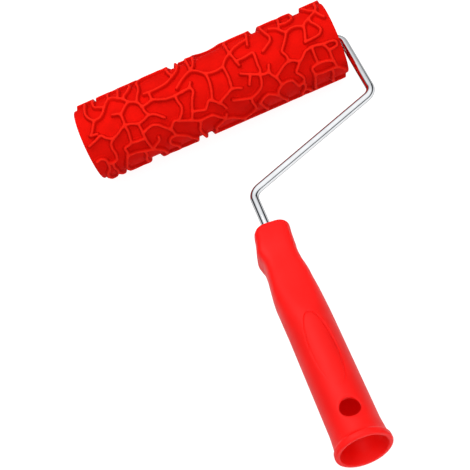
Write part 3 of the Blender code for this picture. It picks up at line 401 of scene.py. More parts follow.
topLinkShares = [
    [(2.5, -12), (3.6, -5), (4.8, 3), (5.1, 12)], [(6.5, -12), (7.6, -4), (8.2, 4), (8.2, 12)],
    [(2.2, 3), (4.8, 3), (6.6, 1.5), (8, 1)], [(10, 4), (11.8, 1.5), (13.2, 1)],
    [(34.4, 2.5), (36.4, 5), (38.1, 4)], [(43, -6), (44.6, -7), (46.8, -4)], [(97.4, 5), (99, 2)],
    [(10.3, -12), (11.3, -5), (13.2, 1), (14.2, 6), (14.3, 12)],
    [(13.2, 1), (16, -3), (18.4, -1), (18.3, 5), (18.4, 12)], [(18.2, -12), (18.6, -6), (18.4, -1)],
    [(18.4, -1), (20.6, 2.5), (22.8, 4.5), (23.2, 9), (23, 14)],
    [(22.8, 4.5), (25.2, 1), (25.9, -5), (25.9, -12)],
    [(25.9, 13), (26.6, 7), (28.4, 3.5), (30.9, 1), (31.4, -5), (31.2, -12)],
    [(30.9, 1), (32.8, 4.3), (34.4, 2.5)], [(38, 12), (38.1, 4), (37.8, -4), (38.8, -12)],
    [(42.2, 14), (42, 6), (41.6, -3), (41.6, -12)], [(45.9, 12), (46, 4), (46.8, -4), (46.6, -12)],
    [(46, 4), (48.3, 6), (48.5, 12)],
    [(48.3, 6), (49, -1), (51.5, -7), (54.6, -8.5), (57.8, -6), (59.6, -1), (61.3, 5), (61.1, 12)],
    [(57.8, -6), (57.6, -11.5)], [(61.3, 5), (62.8, 3), (64.8, -0.5), (66.6, -5.5), (66.7, -12)],
    [(64.8, -0.5), (67.5, 2.2), (69.8, 4.6), (70, 12)], [(69.8, 4.6), (71.2, 1.2)],
    [(75.6, 12), (75.7, 5), (75.1, -4), (74.6, -12)],
    [(75.7, 5), (78.5, 2.2), (81, 4.2), (82.6, 7), (82.7, 12)],
    [(81, 4.2), (80.9, -4), (81, -11.5)], [(82.6, 7), (85, 2.2), (86.5, -4), (86.2, -12)],
    [(85, 2.2), (87.3, 5.8), (87.6, 12)], [(85, 2.2), (84.3, -4.5), (84, -12)],
    [(93, 12), (92.1, 5), (92.9, -3), (93.2, -12)], [(92.1, 5), (95.4, 1.2), (97.4, 5), (97.2, 12)],
]
bottomLinkShares = [
    [(2.5, 88), (3.2, 96), (4.4, 104), (5.1, 112)], [(6.5, 88), (7.4, 95), (8, 103), (8.2, 112)],
    [(10.3, 88), (10.8, 95), (12.8, 100.5), (14, 106), (14.3, 112)],
    [(12.8, 100.5), (15.5, 102.8), (18, 99.7), (18.6, 94), (18.2, 88)],
    [(18, 99.7), (18.8, 106), (18.4, 112)],
    [(23, 114), (23.6, 107), (24.4, 101), (26, 95.5), (25.9, 88)],
    [(24.4, 101), (27, 103.6), (29.2, 101), (31, 96), (31.2, 88)],
    [(25.9, 113), (26.3, 108), (27, 103.6)],
    [(29.2, 101), (31.8, 103.2), (34.1, 100.6), (36.4, 102), (38.2, 97), (38.8, 88)],
    [(36.4, 102), (37.9, 106.4), (38, 112)], [(41.6, 88), (41.8, 97), (42, 105), (42.2, 114)],
    [(46.6, 88), (45.6, 96), (45.3, 104), (45.9, 112)],
    [(45.6, 96), (47.8, 100.2), (49.3, 105.2), (48.5, 112)],
    [(47.8, 100.2), (50.6, 98), (53.6, 100.6), (56.5, 98.6), (57.6, 93.5), (57.6, 88.5)],
    [(56.5, 98.6), (59.5, 101), (61.2, 105.4), (61.1, 112)],
    [(59.5, 101), (62.6, 98.6), (65.5, 100), (66.9, 94.5), (66.7, 88)],
    [(65.5, 100), (68.4, 101.6), (70.2, 105.4), (70, 112)],
    [(68.4, 101.6), (71.5, 99), (74, 100.5), (75, 94.5), (74.6, 88)],
    [(74, 100.5), (75.4, 106), (75.6, 112)],
    [(74, 100.5), (77, 101.8), (79.7, 99.5), (80.9, 94.5), (81, 88.5)],
    [(79.7, 99.5), (82.1, 103.6), (82.7, 112)],
    [(82.1, 103.6), (84.4, 99.4), (84.3, 93.5), (84, 88)],
    [(84.4, 99.4), (87.1, 101.8), (87.9, 106.4), (87.6, 112)],
    [(87.1, 101.8), (86.7, 95), (86.2, 88)],
    [(87.1, 101.8), (90.3, 99), (93, 101), (93.4, 94.5), (93.2, 88)],
    [(93, 101), (92.5, 106), (93, 112)],
    [(93, 101), (96, 98.6), (98.2, 101.6), (97.7, 106.4), (97.2, 112)],
]


def curveThrough(chain):
    # a smooth line through a chain's spots in millimetres (x, arc), with spots at even steps
    spots = np.array([
        ((u / 100 - 0.5) * sleeve["length"], v / 100 * math.pi * sleeve["ridgeRadius"])
        for u, v in chain
    ])
    runs = np.hypot(*np.diff(spots, axis=0).T)
    ways = np.diff(spots, axis=0) / runs[:, None]
    leads = [ways[0]]
    for i in range(1, len(runs)):
        lead = (ways[i] * runs[i - 1] + ways[i - 1] * runs[i]) / (runs[i] + runs[i - 1])
        leads.append(lead * sleeve["curveEase"])
    leads.append(ways[-1])
    fine = [spots[0]]
    for i, run in enumerate(runs):
        for t in np.linspace(0, 1, sleeve["curveSteps"] + 1)[1:]:
            fine.append(cubicBetween(t, run, spots[i], spots[i + 1], leads[i], leads[i + 1]))
    fine = np.array(fine)
    along = np.concatenate([[0], np.cumsum(np.hypot(*np.diff(fine, axis=0).T))])
    count = max(2, math.ceil(along[-1] / sleeve["alongStep"]) + 1)
    even = np.linspace(0, along[-1], count)
    return np.column_stack([np.interp(even, along, fine[:, i]) for i in (0, 1)])


def shortWayRound(arc):
    return (arc + sleeveTurn / 2) % sleeveTurn - sleeveTurn / 2


def nearbyDistances(spots, line):
    # which spots lie near a line, and how far from it
    reach = max(sleeve["besideSteps"]) + sleeve["fieldGap"]
    middle = line.mean(axis=0)
    local = spots - middle
    local[:, 1] = shortWayRound(local[:, 1])
    low = (line - middle).min(axis=0) - reach
    high = (line - middle).max(axis=0) + reach
    near = np.nonzero(((local > low) & (local < high)).all(axis=1))[0]
    starts = line[:-1] - middle
    ways = np.diff(line, axis=0)
    offset = local[near][:, None, :] - starts[None]
    along = np.clip((offset * ways).sum(axis=2) / (ways * ways).sum(axis=1), 0, 1)
    gap = offset - along[:, :, None] * ways
    return near, np.sqrt((gap * gap).sum(axis=2)).min(axis=1)


def ridgeField(spots, lines):
    # how far each spot is from the nearest ridge, and its height as a share of a ridge's
    nearest = np.full(len(spots), np.inf)
    lowness = np.ones(len(spots))
    for line in lines:
        near, gap = nearbyDistances(spots, line)
        nearest[near] = np.minimum(nearest[near], gap)
        lowness[near] *= blendSteps(sleeve["crestHalf"], sleeve["footHalf"], gap)
    return nearest, 1 - lowness


def spotsBesideRidges(lines):
    # rows of spots along every ridge at set distances, and round every ridge's ends
    found = [np.vstack(lines)]
    wanted = [np.zeros(len(found[0]))]
    for line in lines:
        ways = np.gradient(line, axis=0)
        ways /= np.hypot(*ways.T)[:, None]
        aside = np.column_stack([-ways[:, 1], ways[:, 0]])
        for step in sleeve["besideSteps"]:
            for side in (-1, 1):
                found.append(line + aside * step * side)
                wanted.append(np.full(len(line), step))
            for end, way in ((line[0], -ways[0]), (line[-1], ways[-1])):
                count = sleeve["endSpots"] + 2 * math.ceil(step)
                turns = math.atan2(way[1], way[0]) + np.linspace(-math.pi / 2, math.pi / 2, count)
                found.append(end + step * np.column_stack([np.cos(turns), np.sin(turns)]))
                wanted.append(np.full(count, step))
    return np.vstack(found), np.concatenate(wanted)


def spreadOut(spots):
    # keeps the first of any spots that crowd, across the seam too
    closest = sleeve["closest"]
    rows = int(sleeveTurn / closest)
    taken = {}
    kept = []
    for number, (x, arc) in enumerate(spots.tolist()):
        column = math.floor(x / closest)
        row = math.floor(arc / sleeveTurn * rows) % rows
        others = [taken.get((column + i, (row + j) % rows)) for i in (-1, 0, 1) for j in (-1, 0, 1)]
        if not any(math.hypot(x - other[0], shortWayRound(arc - other[1])) < closest
                   for other in others if other):
            taken[column, row] = (x, arc)
            kept.append(number)
    return spots[kept]


def sleeveSurface():
    # spots and triangles of the unrolled outside, divided as a flat ring so that its sides join
    half = sleeve["length"] / 2 - sleeve["rimRound"]
    sides = sleeve["rimSides"]
    chains = ridgeLineShares + topLinkShares + bottomLinkShares
    chains += [[(u, v + 100) for u, v in chain] for chain in ridgeLineShares]
    lines = [curveThrough(chain) for chain in chains]
    spots, wanted = spotsBesideRidges(lines)
    nearest, _ = ridgeField(spots, lines)
    spots = spots[nearest > wanted - sleeve["tooNear"]]
    columns = int(2 * half / sleeve["floorStep"])
    rows = int(sleeveTurn / sleeve["floorStep"])
    floors = np.array([
        (-half + 2 * half * (i + 0.5) / columns, sleeveTurn * (j + i % 2 / 2) / rows)
        for i in range(columns) for j in range(rows)
    ])
    nearest, _ = ridgeField(floors, lines)
    clear = nearest > max(sleeve["besideSteps"]) + sleeve["floorGap"]
    spots = np.vstack([spots, floors[clear]])
    spots = spreadOut(spots[np.abs(spots[:, 0]) < half - sleeve["rimGap"]])
    rimTurns = sleeveTurn * np.arange(sides) / sides
    rims = [np.column_stack([np.full(sides, end), rimTurns]) for end in (-half, half)]
    spots = np.vstack(rims + [spots])
    reach = np.exp(spots[:, 0] / sleeve["ridgeRadius"])
    turns = spots[:, 1] / sleeve["ridgeRadius"]
    ring = np.column_stack([reach * np.cos(turns), reach * np.sin(turns)])
    edges = [(first + i, first + (i + 1) % sides) for first in (0, sides) for i in range(sides)]
    sameSpot = 1e-7
    _, _, triangles, sources, _, _ = delaunay_2d_cdt(
        [Vector(spot) for spot in ring], edges, [], 0, sameSpot)
    faces = [[sources[i][0] for i in face] for face in triangles]
    # without the triangles that fill the flat ring's middle
    faces = [face for face in faces if max(face) >= sides]
    _, height = ridgeField(spots, lines)
    height[:2 * sides] = 0
    return spots, height, faces


def roundAxis(x, radii, turns):
    return np.column_stack([x, radii * np.cos(turns), radii * np.sin(turns)])


def makeSleeve(material):
    floorRadius = sleeve["ridgeRadius"] - sleeve["ridgeHeight"]
    boreRadius = floorRadius - sleeve["wall"]
    end = sleeve["length"] / 2
    rimRound = sleeve["rimRound"]
    edge = sleeve["boreEdge"]
    sides = sleeve["rimSides"]
    spots, height, faces = sleeveSurface()
    turns = math.radians(sleeve["patternStart"]) + spots[:, 1] / sleeve["ridgeRadius"]
    places = [roundAxis(spots[:, 0], floorRadius + sleeve["ridgeHeight"] * height, turns)]
    rimOutline = [
        (end - rimRound + rimRound * math.sin(a), floorRadius - rimRound + rimRound * math.cos(a))
        for a in np.radians((22.5, 45, 67.5, 90))
    ]
    rimOutline += [(end, boreRadius + edge), (end - edge, boreRadius)]
    count = len(spots)
    rings = [np.arange(sides)]
    for x, radius in [(-x, radius) for x, radius in rimOutline] + rimOutline[::-1]:
        places.append(roundAxis(np.full(sides, x), radius, turns[:sides]))
        rings.append(np.arange(count, count + sides))
        count += sides
    rings.append(np.arange(sides, 2 * sides))
    for ring, following in zip(rings, rings[1:]):
        for i in range(sides):
            j = (i + 1) % sides
            faces.append([ring[i], ring[j], following[j], following[i]])
    mesh = bpy.data.meshes.new("rubber_sleeve")
    mesh.from_pydata(np.vstack(places).tolist(), [], [[int(i) for i in face] for face in faces])
    piece = addObject("rubber_sleeve", mesh)
    tidyMesh(piece)
    putInPlace(piece)
    smoothShade(piece, sharpAngle=60)
    finishPiece(piece, material, "roller", "red_rubber", "pattern_sleeve")


# Wire frame

wire = {
    "rod": 5.4, "bend": 8.5, "freeEnd": -86.3, "legX": 93.9, "legY": -61.65,
    "neck": (-0.5, -100.75), "lean": 0.95, "tang": 74.8, "endEdge": 0.5,
    "sides": 48, "bendSteps": 14,
}


def makeWire(material):
    # one rod: pushed straight, then turned round each bend, as a bending jig would
    neck = Vector((*wire["neck"], 0))
    lean = math.radians(wire["lean"])
    corners = [
        Vector((wire["freeEnd"], 0, 0)), Vector((wire["legX"], 0, 0)),
        Vector((wire["legX"], wire["legY"], 0)), neck,
        neck + Vector((math.sin(lean), -math.cos(lean), 0)) * wire["tang"],
    ]
    here = corners[0]
    bpy.ops.mesh.primitive_circle_add(
        vertices=wire["sides"], radius=wire["rod"] / 2, fill_type="NGON", location=here,
        rotation=(0, math.pi / 2, 0))
    piece = bpy.context.object
    piece.name = "bent_rod"
    bpy.ops.object.transform_apply()
    editWhole(piece)
    for corner, after in zip(corners[1:], corners[2:]):
        way = (corner - here).normalized()
        wayOut = (after - corner).normalized()
        turn = way.angle(wayOut)
        side = 1 if way.cross(wayOut).z > 0 else -1
        short = wire["bend"] * math.tan(turn / 2)
        bendStart = corner - way * short
        bpy.ops.mesh.extrude_region_move(TRANSFORM_OT_translate={"value": bendStart - here})
        inward = Vector((-way.y, way.x, 0)) * side
        bpy.ops.mesh.spin(
            steps=wire["bendSteps"], angle=-turn * side,
            center=bendStart + inward * wire["bend"], axis=(0, 0, 1))
        here = corner + wayOut * short
    bpy.ops.mesh.extrude_region_move(TRANSFORM_OT_translate={"value": corners[-1] - here})
    bpy.ops.object.mode_set(mode="OBJECT")
    tidyMesh(piece, mergeDistance=1e-3)
    roundEdges(piece, wire["endEdge"], sharpAngle=60, steps=3)
    putInPlace(piece)
    smoothShade(piece)
    finishPiece(piece, material, "frame", "bright_steel", "wire_frame")


# Handle

handle = {
    "length": 151.9, "grip": 13.5, "roll": 9.1, "frontAt": -33.8,
    "rodHole": 2.8, "rodDepth": 41.3,
    "frontRound": 2.43, "frontDrop": 2.2, "frontSteps": 12, "faceSteps": 6,
    "archLength": 5, "archDrop": 6.3,  # the head's front, arched as seen from above
    "socketMouth": 12.8, "socketBore": 11.5, "socketTaper": 5, "socketDepth": 85,
    "socketEdge": 1, "rimSoft": 0.5,
    "holeRadius": 5.4, "holeFromTail": 18.3, "holeDrop": 0.45, "drill": 54, "holeSides": 96,
    "lipInner": 0.2, "lipOuter": 0.9,  # how far the hole's soft lip reaches in and out
    "panelLength": 49, "panelHalf": 7.3, "panelDepth": 0.35, "panelFromTail": 31.2,
    "panelEdge": 0.4, "grooveDepth": 0.5, "grooveHalf": 0.38,
    "columnStep": 0.6, "rowStep": 0.6, "panelStep": 0.22, "flareStep": 0.2, "panelBeside": 1,
    # where the tail widens, as a share of the length, and how far the finer columns reach, as one
    # of the panel's half width
    "flareFrom": 0.925, "fineSides": 1.1,
    # along the panel, from -1 at its tail to 1 at its front: where the recess and the groove fade
    # in, how much further forward the groove does on the left, and how much deeper it is right
    "recessFade": (-1.1, 0.2), "grooveFade": (-1.4, -0.1), "grooveSlant": 0.4, "grooveUneven": 0.4,
}

# Rows from front to tail: place as a share of the length, half width and half height as shares of
# the grip's radius, squareness, how much wider the top is than the middle, and how far the row
# stands to the right, both as shares of the grip's radius
handleRowShares = [
    (0.000, 0.705, 0.66, 4.3, 0, 0.092), (0.005, 0.775, 0.73, 4.4, 0, 0.092),
    (0.016, 0.812, 0.77, 4.5, 0, 0.084), (0.035, 0.820, 0.78, 4.6, -0.01, 0.058),
    (0.062, 0.832, 0.795, 4.7, -0.025, 0.014), (0.088, 0.856, 0.80, 4.6, -0.035, -0.026),
    (0.115, 0.878, 0.79, 4.4, -0.035, -0.067), (0.142, 0.842, 0.765, 4.3, -0.03, -0.060),
    (0.171, 0.807, 0.755, 4.2, -0.02, -0.034), (0.200, 0.819, 0.765, 4.0, -0.02, -0.026),
    (0.230, 0.86, 0.78, 3.9, -0.01, -0.02), (0.257, 0.893, 0.795, 3.8, -0.01, -0.02),
    (0.283, 0.916, 0.805, 3.6, -0.01, -0.03), (0.313, 0.945, 0.82, 3.3, 0, -0.038),
    (0.355, 0.975, 0.86, 3.0, 0, -0.035), (0.400, 0.985, 0.92, 2.6, 0, -0.02),
    (0.450, 0.995, 0.975, 2.3, 0, -0.01), (0.500, 1, 1, 2, 0, 0), (0.700, 1, 1, 2, 0, 0),
    (0.905, 1, 1, 2, 0, 0), (0.940, 1.022, 1.022, 2, 0, 0), (0.972, 1.06, 1.06, 2, 0, 0),
    (0.982, 1.125, 1.125, 2, 0, 0), (0.993, 1.13, 1.13, 2, 0, 0), (0.998, 1.11, 1.11, 2, 0, 0),
    (1.000, 1.08, 1.08, 2, 0, 0),
]


def smoothRows(places):
    # reads the table of shares between its rows, without bulges past them
    table = np.array(handleRowShares)
    at = table[:, 0]
    runs = np.diff(at)
    i = np.clip(np.searchsorted(at, places, side="right") - 1, 0, len(runs) - 1)
    t = (places - at[i]) / runs[i]
    read = []
    for column in table[:, 1:].T:
        slopes = np.diff(column) / runs
        leads = np.zeros(len(at))
        for j in range(1, len(at) - 1):
            if slopes[j - 1] * slopes[j] > 0:
                before = 2 * runs[j] + runs[j - 1]
                behind = runs[j] + 2 * runs[j - 1]
                leads[j] = (before + behind) / (before / slopes[j - 1] + behind / slopes[j])
        read.append(cubicBetween(t, runs[i], column[i], column[i + 1], leads[i], leads[i + 1]))
    return np.array(read).T


def evenTurns(start, angle, step):
    # turns from start over an angle, about a step of the grip's skin apart
    count = int(angle * handle["grip"] / step)
    return np.linspace(start, start + angle, count, endpoint=False)


def handleTurns():
    # even steps round the handle, finer over the thumb panel on its top
    panel = handle["fineSides"] * handle["panelHalf"] / handle["grip"]
    top = math.pi / 2
    return np.concatenate([
        evenTurns(top - panel, 2 * panel, handle["panelStep"]),
        evenTurns(top + panel, 2 * (math.pi - panel), handle["columnStep"]),
    ])


def handleRing(y, halfWidth, halfHeight, squareness=2, widening=0, aside=0):
    # one ring of spots round the handle
    turns = handleTurns()
    cosine = np.cos(turns)
    sine = np.sin(turns)
    reach = (
        abs(cosine / halfWidth) ** squareness + abs(sine / halfHeight) ** squareness
    ) ** (-1 / squareness)
    z = reach * sine
    x = reach * cosine * (halfWidth + widening * z / halfHeight) / halfWidth + aside
    return np.column_stack([x, np.full(len(turns), y), z])


def roundRing(y, radius):
    return handleRing(y, radius, radius)


def closedRing(y):
    # a ring drawn in to one spot
    return roundRing(y, 1) * (0, 1, 0)


def pressIn(ring, tailY):
    # the thumb panel's shallow recess, and the soft lips of the hanging hole
    y = ring[:, 1]
    halfLength = handle["panelLength"] / 2
    along = (y - tailY - handle["panelFromTail"]) / halfLength - 1
    aside = np.arctan2(ring[:, 0], ring[:, 2]) * handle["grip"] / handle["panelHalf"]
    least = 1e-6  # keeps the middle of the panel from a division by nothing
    steepness = np.hypot(along / halfLength, aside / handle["panelHalf"]) + least
    inside = (1 - along ** 2 - aside ** 2) / (2 * steepness)
    depth = handle["panelDepth"] * blendSteps(-handle["panelEdge"], handle["panelEdge"], inside)
    depth *= blendSteps(*handle["recessFade"], along)
    groove = blendSteps(handle["grooveHalf"], 0, abs(inside))
    groove *= blendSteps(*handle["grooveFade"], along + handle["grooveSlant"] * aside)
    groove *= 1 + handle["grooveUneven"] * np.clip(aside, -1, 1)
    fromHole = np.hypot(ring[:, 0], y - (tailY + handle["holeFromTail"]))
    edge = handle["holeRadius"]
    lip = 1 - blendSteps(edge - handle["lipInner"], edge + handle["lipOuter"], fromHole)
    lip *= abs(ring[:, 2]) > handle["grip"] / 2
    depth = depth + handle["grooveDepth"] * groove + handle["holeDrop"] * lip
    radius = np.hypot(ring[:, 0], ring[:, 2])
    ring[:, 0] *= (radius - depth) / radius
    ring[:, 2] *= (radius - depth) / radius
    return ring


def outerRings():
    # the rings of the outside from front to tail, each place measured from the front
    grip = handle["grip"]
    front = handle["frontAt"]
    length = handle["length"]
    frontRound = handle["frontRound"]
    panelTail = length - handle["panelFromTail"] + handle["panelBeside"]
    panelFront = panelTail - handle["panelLength"] - 2 * handle["panelBeside"]
    flareFront = handle["flareFrom"] * length
    frontTurns = np.linspace(0, math.pi / 2, handle["frontSteps"])
    places = np.concatenate([
        frontRound * (1 - np.cos(frontTurns))[:-1],
        np.arange(frontRound, panelFront, handle["rowStep"]),
        np.arange(panelFront, panelTail, handle["panelStep"]),
        np.arange(panelTail, flareFront, handle["rowStep"]),
        np.arange(flareFront, length, handle["flareStep"]),
        [length],
    ])
    # the rounding of the front starts from one row, and only that rounding changes it
    rows = smoothRows(np.maximum(places, frontRound) / length)
    rings = []
    for place, (width, height, squareness, widening, aside) in zip(places, rows):
        inFront = max(0, 1 - place / frontRound)
        inArch = max(0, 1 - place / handle["archLength"])
        drop = handle["frontDrop"] * (1 - math.sqrt(1 - inFront ** 2))
        sideDrop = max(drop, handle["archDrop"] * (1 - math.sqrt(1 - inArch ** 2)))
        ring = handleRing(front - place, width * grip - sideDrop, height * grip - drop,
                          squareness, widening * grip, aside * grip)
        rings.append(pressIn(ring, front - length))
    return rings


def handleRings():
    front = handle["frontAt"]
    tailY = front - handle["length"]
    hole = handle["rodHole"]
    soft = handle["rimSoft"]
    deep = front - handle["rodDepth"]
    rings = [closedRing(deep), roundRing(deep, hole)]
    for a in np.radians((0, 22.5, 45, 67.5, 90)):
        rings.append(roundRing(front - soft * (1 - math.sin(a)), hole + soft * (1 - math.cos(a))))
    holeRing = rings[-1]
    outside = outerRings()
    for share in np.linspace(0, 1, handle["faceSteps"])[1:-1]:
        rings.append(holeRing * (1 - share) + outside[0] * share)
    rings += outside
    for a in np.radians((0, 30, 60, 90)):
        rings.append(roundRing(tailY + soft * (1 - math.cos(a)),
                               handle["socketMouth"] + soft * (1 - math.sin(a))))
    bore = handle["socketBore"]
    edge = handle["socketEdge"]
    taperEnd = tailY + handle["socketTaper"]
    socketDeep = tailY + handle["socketDepth"]
    rings += [
        roundRing(taperEnd, bore), roundRing(taperEnd + edge, bore),
        roundRing(socketDeep - edge, bore), roundRing(socketDeep, bore - edge),
        closedRing(socketDeep),
    ]
    return rings


def makeHandle(material):
    piece = gridPiece("moulded_handle", handleRings())
    holeY = handle["frontAt"] - handle["length"] + handle["holeFromTail"]
    bpy.ops.mesh.primitive_cylinder_add(
        vertices=handle["holeSides"], radius=handle["holeRadius"], depth=handle["drill"],
        location=(0, holeY, 0))
    combine(piece, "DIFFERENCE", bpy.context.object)
    turn = Euler((0, math.radians(handle["roll"]), math.radians(wire["lean"])))
    putInPlace(piece, Matrix.Translation((*wire["neck"], 0)) @ turn.to_matrix().to_4x4())
    smoothShade(piece, sharpAngle=50)
    finishPiece(piece, material, "frame", "red_plastic", "handle")


# Fittings inside the roller and on its rod; x runs out from the roller's middle

fitting = {
    "gap": 0.3, "coreWall": 2.0, "coreEdge": 0.3, "capRecess": 4.0, "flange": 2.5,
    "skirt": 12.0, "skirtWall": 1.6, "webRecess": 11.5, "web": 2.0, "capEdge": 0.25,
    "ribs": 6, "rib": 1.6, "ribStep": 0.6, "hubRecess": 8.1, "hubWall": 2.5,
    "bushWall": 1.5, "bushLip": 1.8, "bushFlange": 1.3, "thrustRadius": 6.2, "thrust": 1.0,
    "ringEdge": 0.2, "washerRadius": 6.0, "washer": 1.0, "washerEdge": 0.15,
    "collarRadius": 5.2, "collar": 3.4, "turnedEdge": 0.5,
    "retainerRadius": 4.5, "retainerLip": 6.0, "retainerLipDepth": 0.8, "retainerDepth": 4.2,
    "retainerWall": 1.0, "sides": 96,
}


def fittingPlaces():
    f = fitting
    at = SimpleNamespace()
    at.core = sleeve["ridgeRadius"] - sleeve["ridgeHeight"] - sleeve["wall"] - f["gap"]
    at.coreBore = at.core - f["coreWall"]
    at.capFace = sleeve["length"] / 2 - f["capRecess"]
    at.flangeInner = at.capFace - f["flange"]
    at.skirt = at.coreBore - f["gap"]
    at.skirtInner = at.skirt - f["skirtWall"]
    at.skirtEnd = at.flangeInner - f["skirt"]
    at.webFace = at.capFace - f["webRecess"]
    at.webBack = at.webFace - f["web"]
    at.hubFace = at.capFace - f["hubRecess"]
    at.rodHole = wire["rod"] / 2 + f["gap"]
    at.bush = at.rodHole + f["bushWall"]
    at.hubBore = at.bush + f["gap"]
    at.hub = at.hubBore + f["hubWall"]
    at.bushFace = at.hubFace + f["gap"] + f["bushFlange"]
    at.thrustStart = at.bushFace + f["gap"]
    at.afterThrust = at.thrustStart + f["thrust"] + f["gap"]
    at.retainerStart = at.afterThrust + f["washer"] + f["gap"]
    return at


def makeCap(at, name, node, side, material):
    outline = [
        (at.flangeInner, at.core), (at.capFace, at.core),
        (at.capFace, at.skirtInner), (at.webFace, at.skirtInner),
        (at.webFace, at.hub), (at.hubFace, at.hub), (at.hubFace, at.hubBore),
        (at.skirtEnd, at.hubBore), (at.skirtEnd, at.hub), (at.webBack, at.hub),
        (at.webBack, at.skirtInner), (at.skirtEnd, at.skirtInner),
        (at.skirtEnd, at.skirt), (at.flangeInner, at.skirt),
    ]
    piece = turnedPiece(name, outline, side)
    inner = at.hub - fitting["skirtWall"] / 2
    outer = at.skirtInner + fitting["skirtWall"] / 2
    low = at.webFace - fitting["web"] / 2
    high = at.hubFace - fitting["ribStep"]
    for number in range(fitting["ribs"]):
        turn = 2 * math.pi * (number + 0.5) / fitting["ribs"]
        bpy.ops.mesh.primitive_cube_add(size=1)
        rib = bpy.context.object
        rib.data.transform(
            Matrix.Rotation(turn, 4, "X")
            @ Matrix.Translation((side * (low + high) / 2, (inner + outer) / 2, 0))
            @ Matrix.Diagonal((high - low, outer - inner, fitting["rib"], 1))
        )
        combine(piece, "UNION", rib)
    roundEdges(piece, fitting["capEdge"])
    putInPlace(piece)
    smoothShade(piece, sharpAngle=30)
    finishPiece(piece, material, "roller", "red_plastic", node)


def plainRing(start, thickness, hole, radius):
    face = start + thickness
    return [(start, hole), (face, hole), (face, radius), (start, radius)]


def makeRound(name, node, outline, side, edge, material, body, slot):
    piece = turnedPiece(name, outline, side)
    roundEdges(piece, fitting[edge])
    putInPlace(piece)
    smoothShade(piece)
    finishPiece(piece, material, body, slot, node)


def makeFittings(redPlastic, acetal, greyPlastic, steel):
    at = fittingPlaces()
    hole = at.rodHole
    end = at.flangeInner - fitting["gap"]
    core = plainRing(-end, 2 * end, at.coreBore, at.core)
    makeRound("pipe_core", "core_tube", core, 1, "coreEdge", greyPlastic, "roller", "grey_plastic")
    for word, side in (("left", -1), ("right", 1)):
        makeCap(at, "cap_" + word, "end_cap_" + word, side, redPlastic)
        lip = at.bush + fitting["bushLip"]
        lipInner = at.bushFace - fitting["bushFlange"]
        bush = [
            (at.skirtEnd, hole), (at.bushFace, hole), (at.bushFace, lip), (lipInner, lip),
            (lipInner, at.bush), (at.skirtEnd, at.bush),
        ]
        makeRound("bush_" + word, "bearing_bush_" + word, bush, side, "ringEdge", acetal,
                  "roller", "white_plastic")
        thrust = plainRing(at.thrustStart, fitting["thrust"], hole, fitting["thrustRadius"])
        makeRound("thrust_ring_" + word, "thrust_washer_" + word, thrust, side, "ringEdge", acetal,
                  "frame", "white_plastic")
    washer = plainRing(at.afterThrust, fitting["washer"], hole, fitting["washerRadius"])
    makeRound("steel_washer", "flat_washer_left", washer, -1, "washerEdge", steel,
              "frame", "bright_steel")
    collar = plainRing(at.afterThrust, fitting["collar"], hole, fitting["collarRadius"])
    makeRound("collar_ring", "stop_collar", collar, 1, "turnedEdge", steel,
              "frame", "bright_steel")
    start = at.retainerStart
    lipFace = start + fitting["retainerLipDepth"]
    floor = start + fitting["retainerDepth"]
    end = floor + fitting["retainerWall"]
    cup = fitting["retainerRadius"]
    lip = fitting["retainerLip"]
    retainer = [
        (start, hole), (floor, hole), (floor, 0), (end, 0), (end, cup), (lipFace, cup),
        (lipFace, lip), (start, lip),
    ]
    makeRound("retainer_cup", "push_on_cap", retainer, -1, "turnedEdge", steel,
              "frame", "bright_steel")


# Floor, light and camera

studio = {
    "floor": 40000, "poolMiddle": (-50, 103, 0), "poolEdge": 300, "poolFade": 130,
    "roomTilt": -10, "roomLight": 1.3,
    "cameraTurn": (37.863, 17.067, -16.329), "cameraSpot": (10.224, -513.75, 447.063),
    "lens": 76.6, "sensor": 36, "imageSide": 470, "shiftPixels": (-0.25, 0.5),
}

# Name, place, width, height and power in watts
lampRows = [
    ("key", (-200, 300, 1100), 700, 700, 5.1),
    ("fill", (800, -3600, 800), 3600, 1600, 54),
    ("side", (1120, 1810, 700), 850, 1200, 1.9),
]


def makeFloor():
    bpy.ops.mesh.primitive_plane_add(size=studio["floor"] * mm)
    floor = bpy.context.object
    floor.name = "floor"
    # a light table: white acrylic whose glow stands for a lamp below it, so that it takes no
    # shadow; the glow is a painted pool of light, dimmer further off
    material, tree, shader, spot = newMaterial(
        "LitWhiteAcrylic", Roughness=0.7, Base_Color=hexColour("#767676"), Emission_Strength=0.92)
    fromPool = addNode(tree, "ShaderNodeVectorMath", {"operation": "DISTANCE"}, Vector=spot)
    fromPool.inputs[1].default_value = Vector(studio["poolMiddle"]) * mm
    fade = addNode(tree, "ShaderNodeMapRange", {
        "From Min": studio["poolEdge"] * mm,
        "From Max": (studio["poolEdge"] + studio["poolFade"]) * mm,
    }, Value=fromPool.outputs["Value"])
    # painted pool of light: the floor's glow is white near the roller and grey further off
    tree.links.new(colourSteps(tree, fade.outputs["Result"], (0, "#FFFFFF"), (1, "#8C8C8E")),
                   shader.inputs["Emission Color"])
    floor.data.materials.append(material)
    # the light that would bounce off the table comes from the room's lower half
    floor.visible_diffuse = False


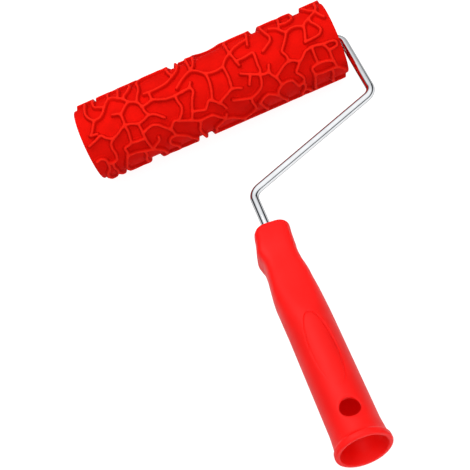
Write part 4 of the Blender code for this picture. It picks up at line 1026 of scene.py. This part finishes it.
def makeRoom():
    # a pale room with a darker band above its horizon
    world = bpy.data.worlds.new("PaleRoom")
    bpy.context.scene.world = world
    world.use_nodes = True
    tree = world.node_tree
    view = addNode(tree, "ShaderNodeTexCoord").outputs["Generated"]
    tilted = addNode(tree, "ShaderNodeVectorRotate",
                     {"Angle": math.radians(studio["roomTilt"]), "Axis": (1, 0, 0)}, Vector=view)
    parts = addNode(tree, "ShaderNodeSeparateXYZ", Vector=tilted.outputs["Vector"])
    upwards = addNode(tree, "ShaderNodeMapRange", {"From Min": -1}, Value=parts.outputs["Z"])
    room = colourSteps(
        tree, upwards.outputs["Result"], (0.385, "#E0E0E2"), (0.413, "#3A3A3C"),
        (0.685, "#3E3E40"), (0.735, "#D4D5D7"), (0.78, "#E8E9EA"), (0.86, "#F9F9FA"),
        (0.94, "#FFFFFF"))
    background = tree.nodes["Background"]
    tree.links.new(room, background.inputs["Color"])
    background.inputs["Strength"].default_value = studio["roomLight"]


def makeLightAndCamera():
    for name, spot, width, height, power in lampRows:
        lamp = bpy.data.lights.new(name, "AREA")
        lamp.shape = "RECTANGLE"
        lamp.size = width * mm
        lamp.size_y = height * mm
        lamp.energy = power
        light = addObject(name, lamp)
        light.location = Vector(spot) * mm
        light.rotation_euler = (-light.location).to_track_quat("-Z", "Y").to_euler()
    lens = bpy.data.cameras.new("camera")
    lens.lens = studio["lens"]
    lens.sensor_width = studio["sensor"]
    lens.shift_x, lens.shift_y = [shift / studio["imageSide"] for shift in studio["shiftPixels"]]
    camera = addObject("camera", lens)
    camera.location = rollerCentre + Vector(studio["cameraSpot"]) * mm
    camera.rotation_euler = [math.radians(turn) for turn in studio["cameraTurn"]]
    bpy.context.scene.camera = camera
    bpy.context.scene.view_settings.view_transform = "Standard"


rubber = mouldedRubber()
redPlastic = mouldedPlastic(
    "MouldedRedPolypropylene", "#E80400", "#F00600", roughness=0.52, glow=(6, 0.4, 0.2))
acetal = mouldedPlastic(
    "NaturalAcetal", "#E8E6DF", "#EEECE6", roughness=0.38, glow=(0.8, 0.75, 0.7))
greyPlastic = extrudedPlastic()
chrome = platedSteel("ChromePlatedSteel", "#D6D8DA", "#DFE1E3", roughness=0.05)
zinc = platedSteel("ZincPlatedSteel", "#C2C5C9", "#D2D4D7", roughness=0.22)
makeSleeve(rubber)
makeWire(chrome)
makeHandle(redPlastic)
makeFittings(redPlastic, acetal, greyPlastic, zinc)
makeFloor()
makeRoom()
makeLightAndCamera()
print("studio set")
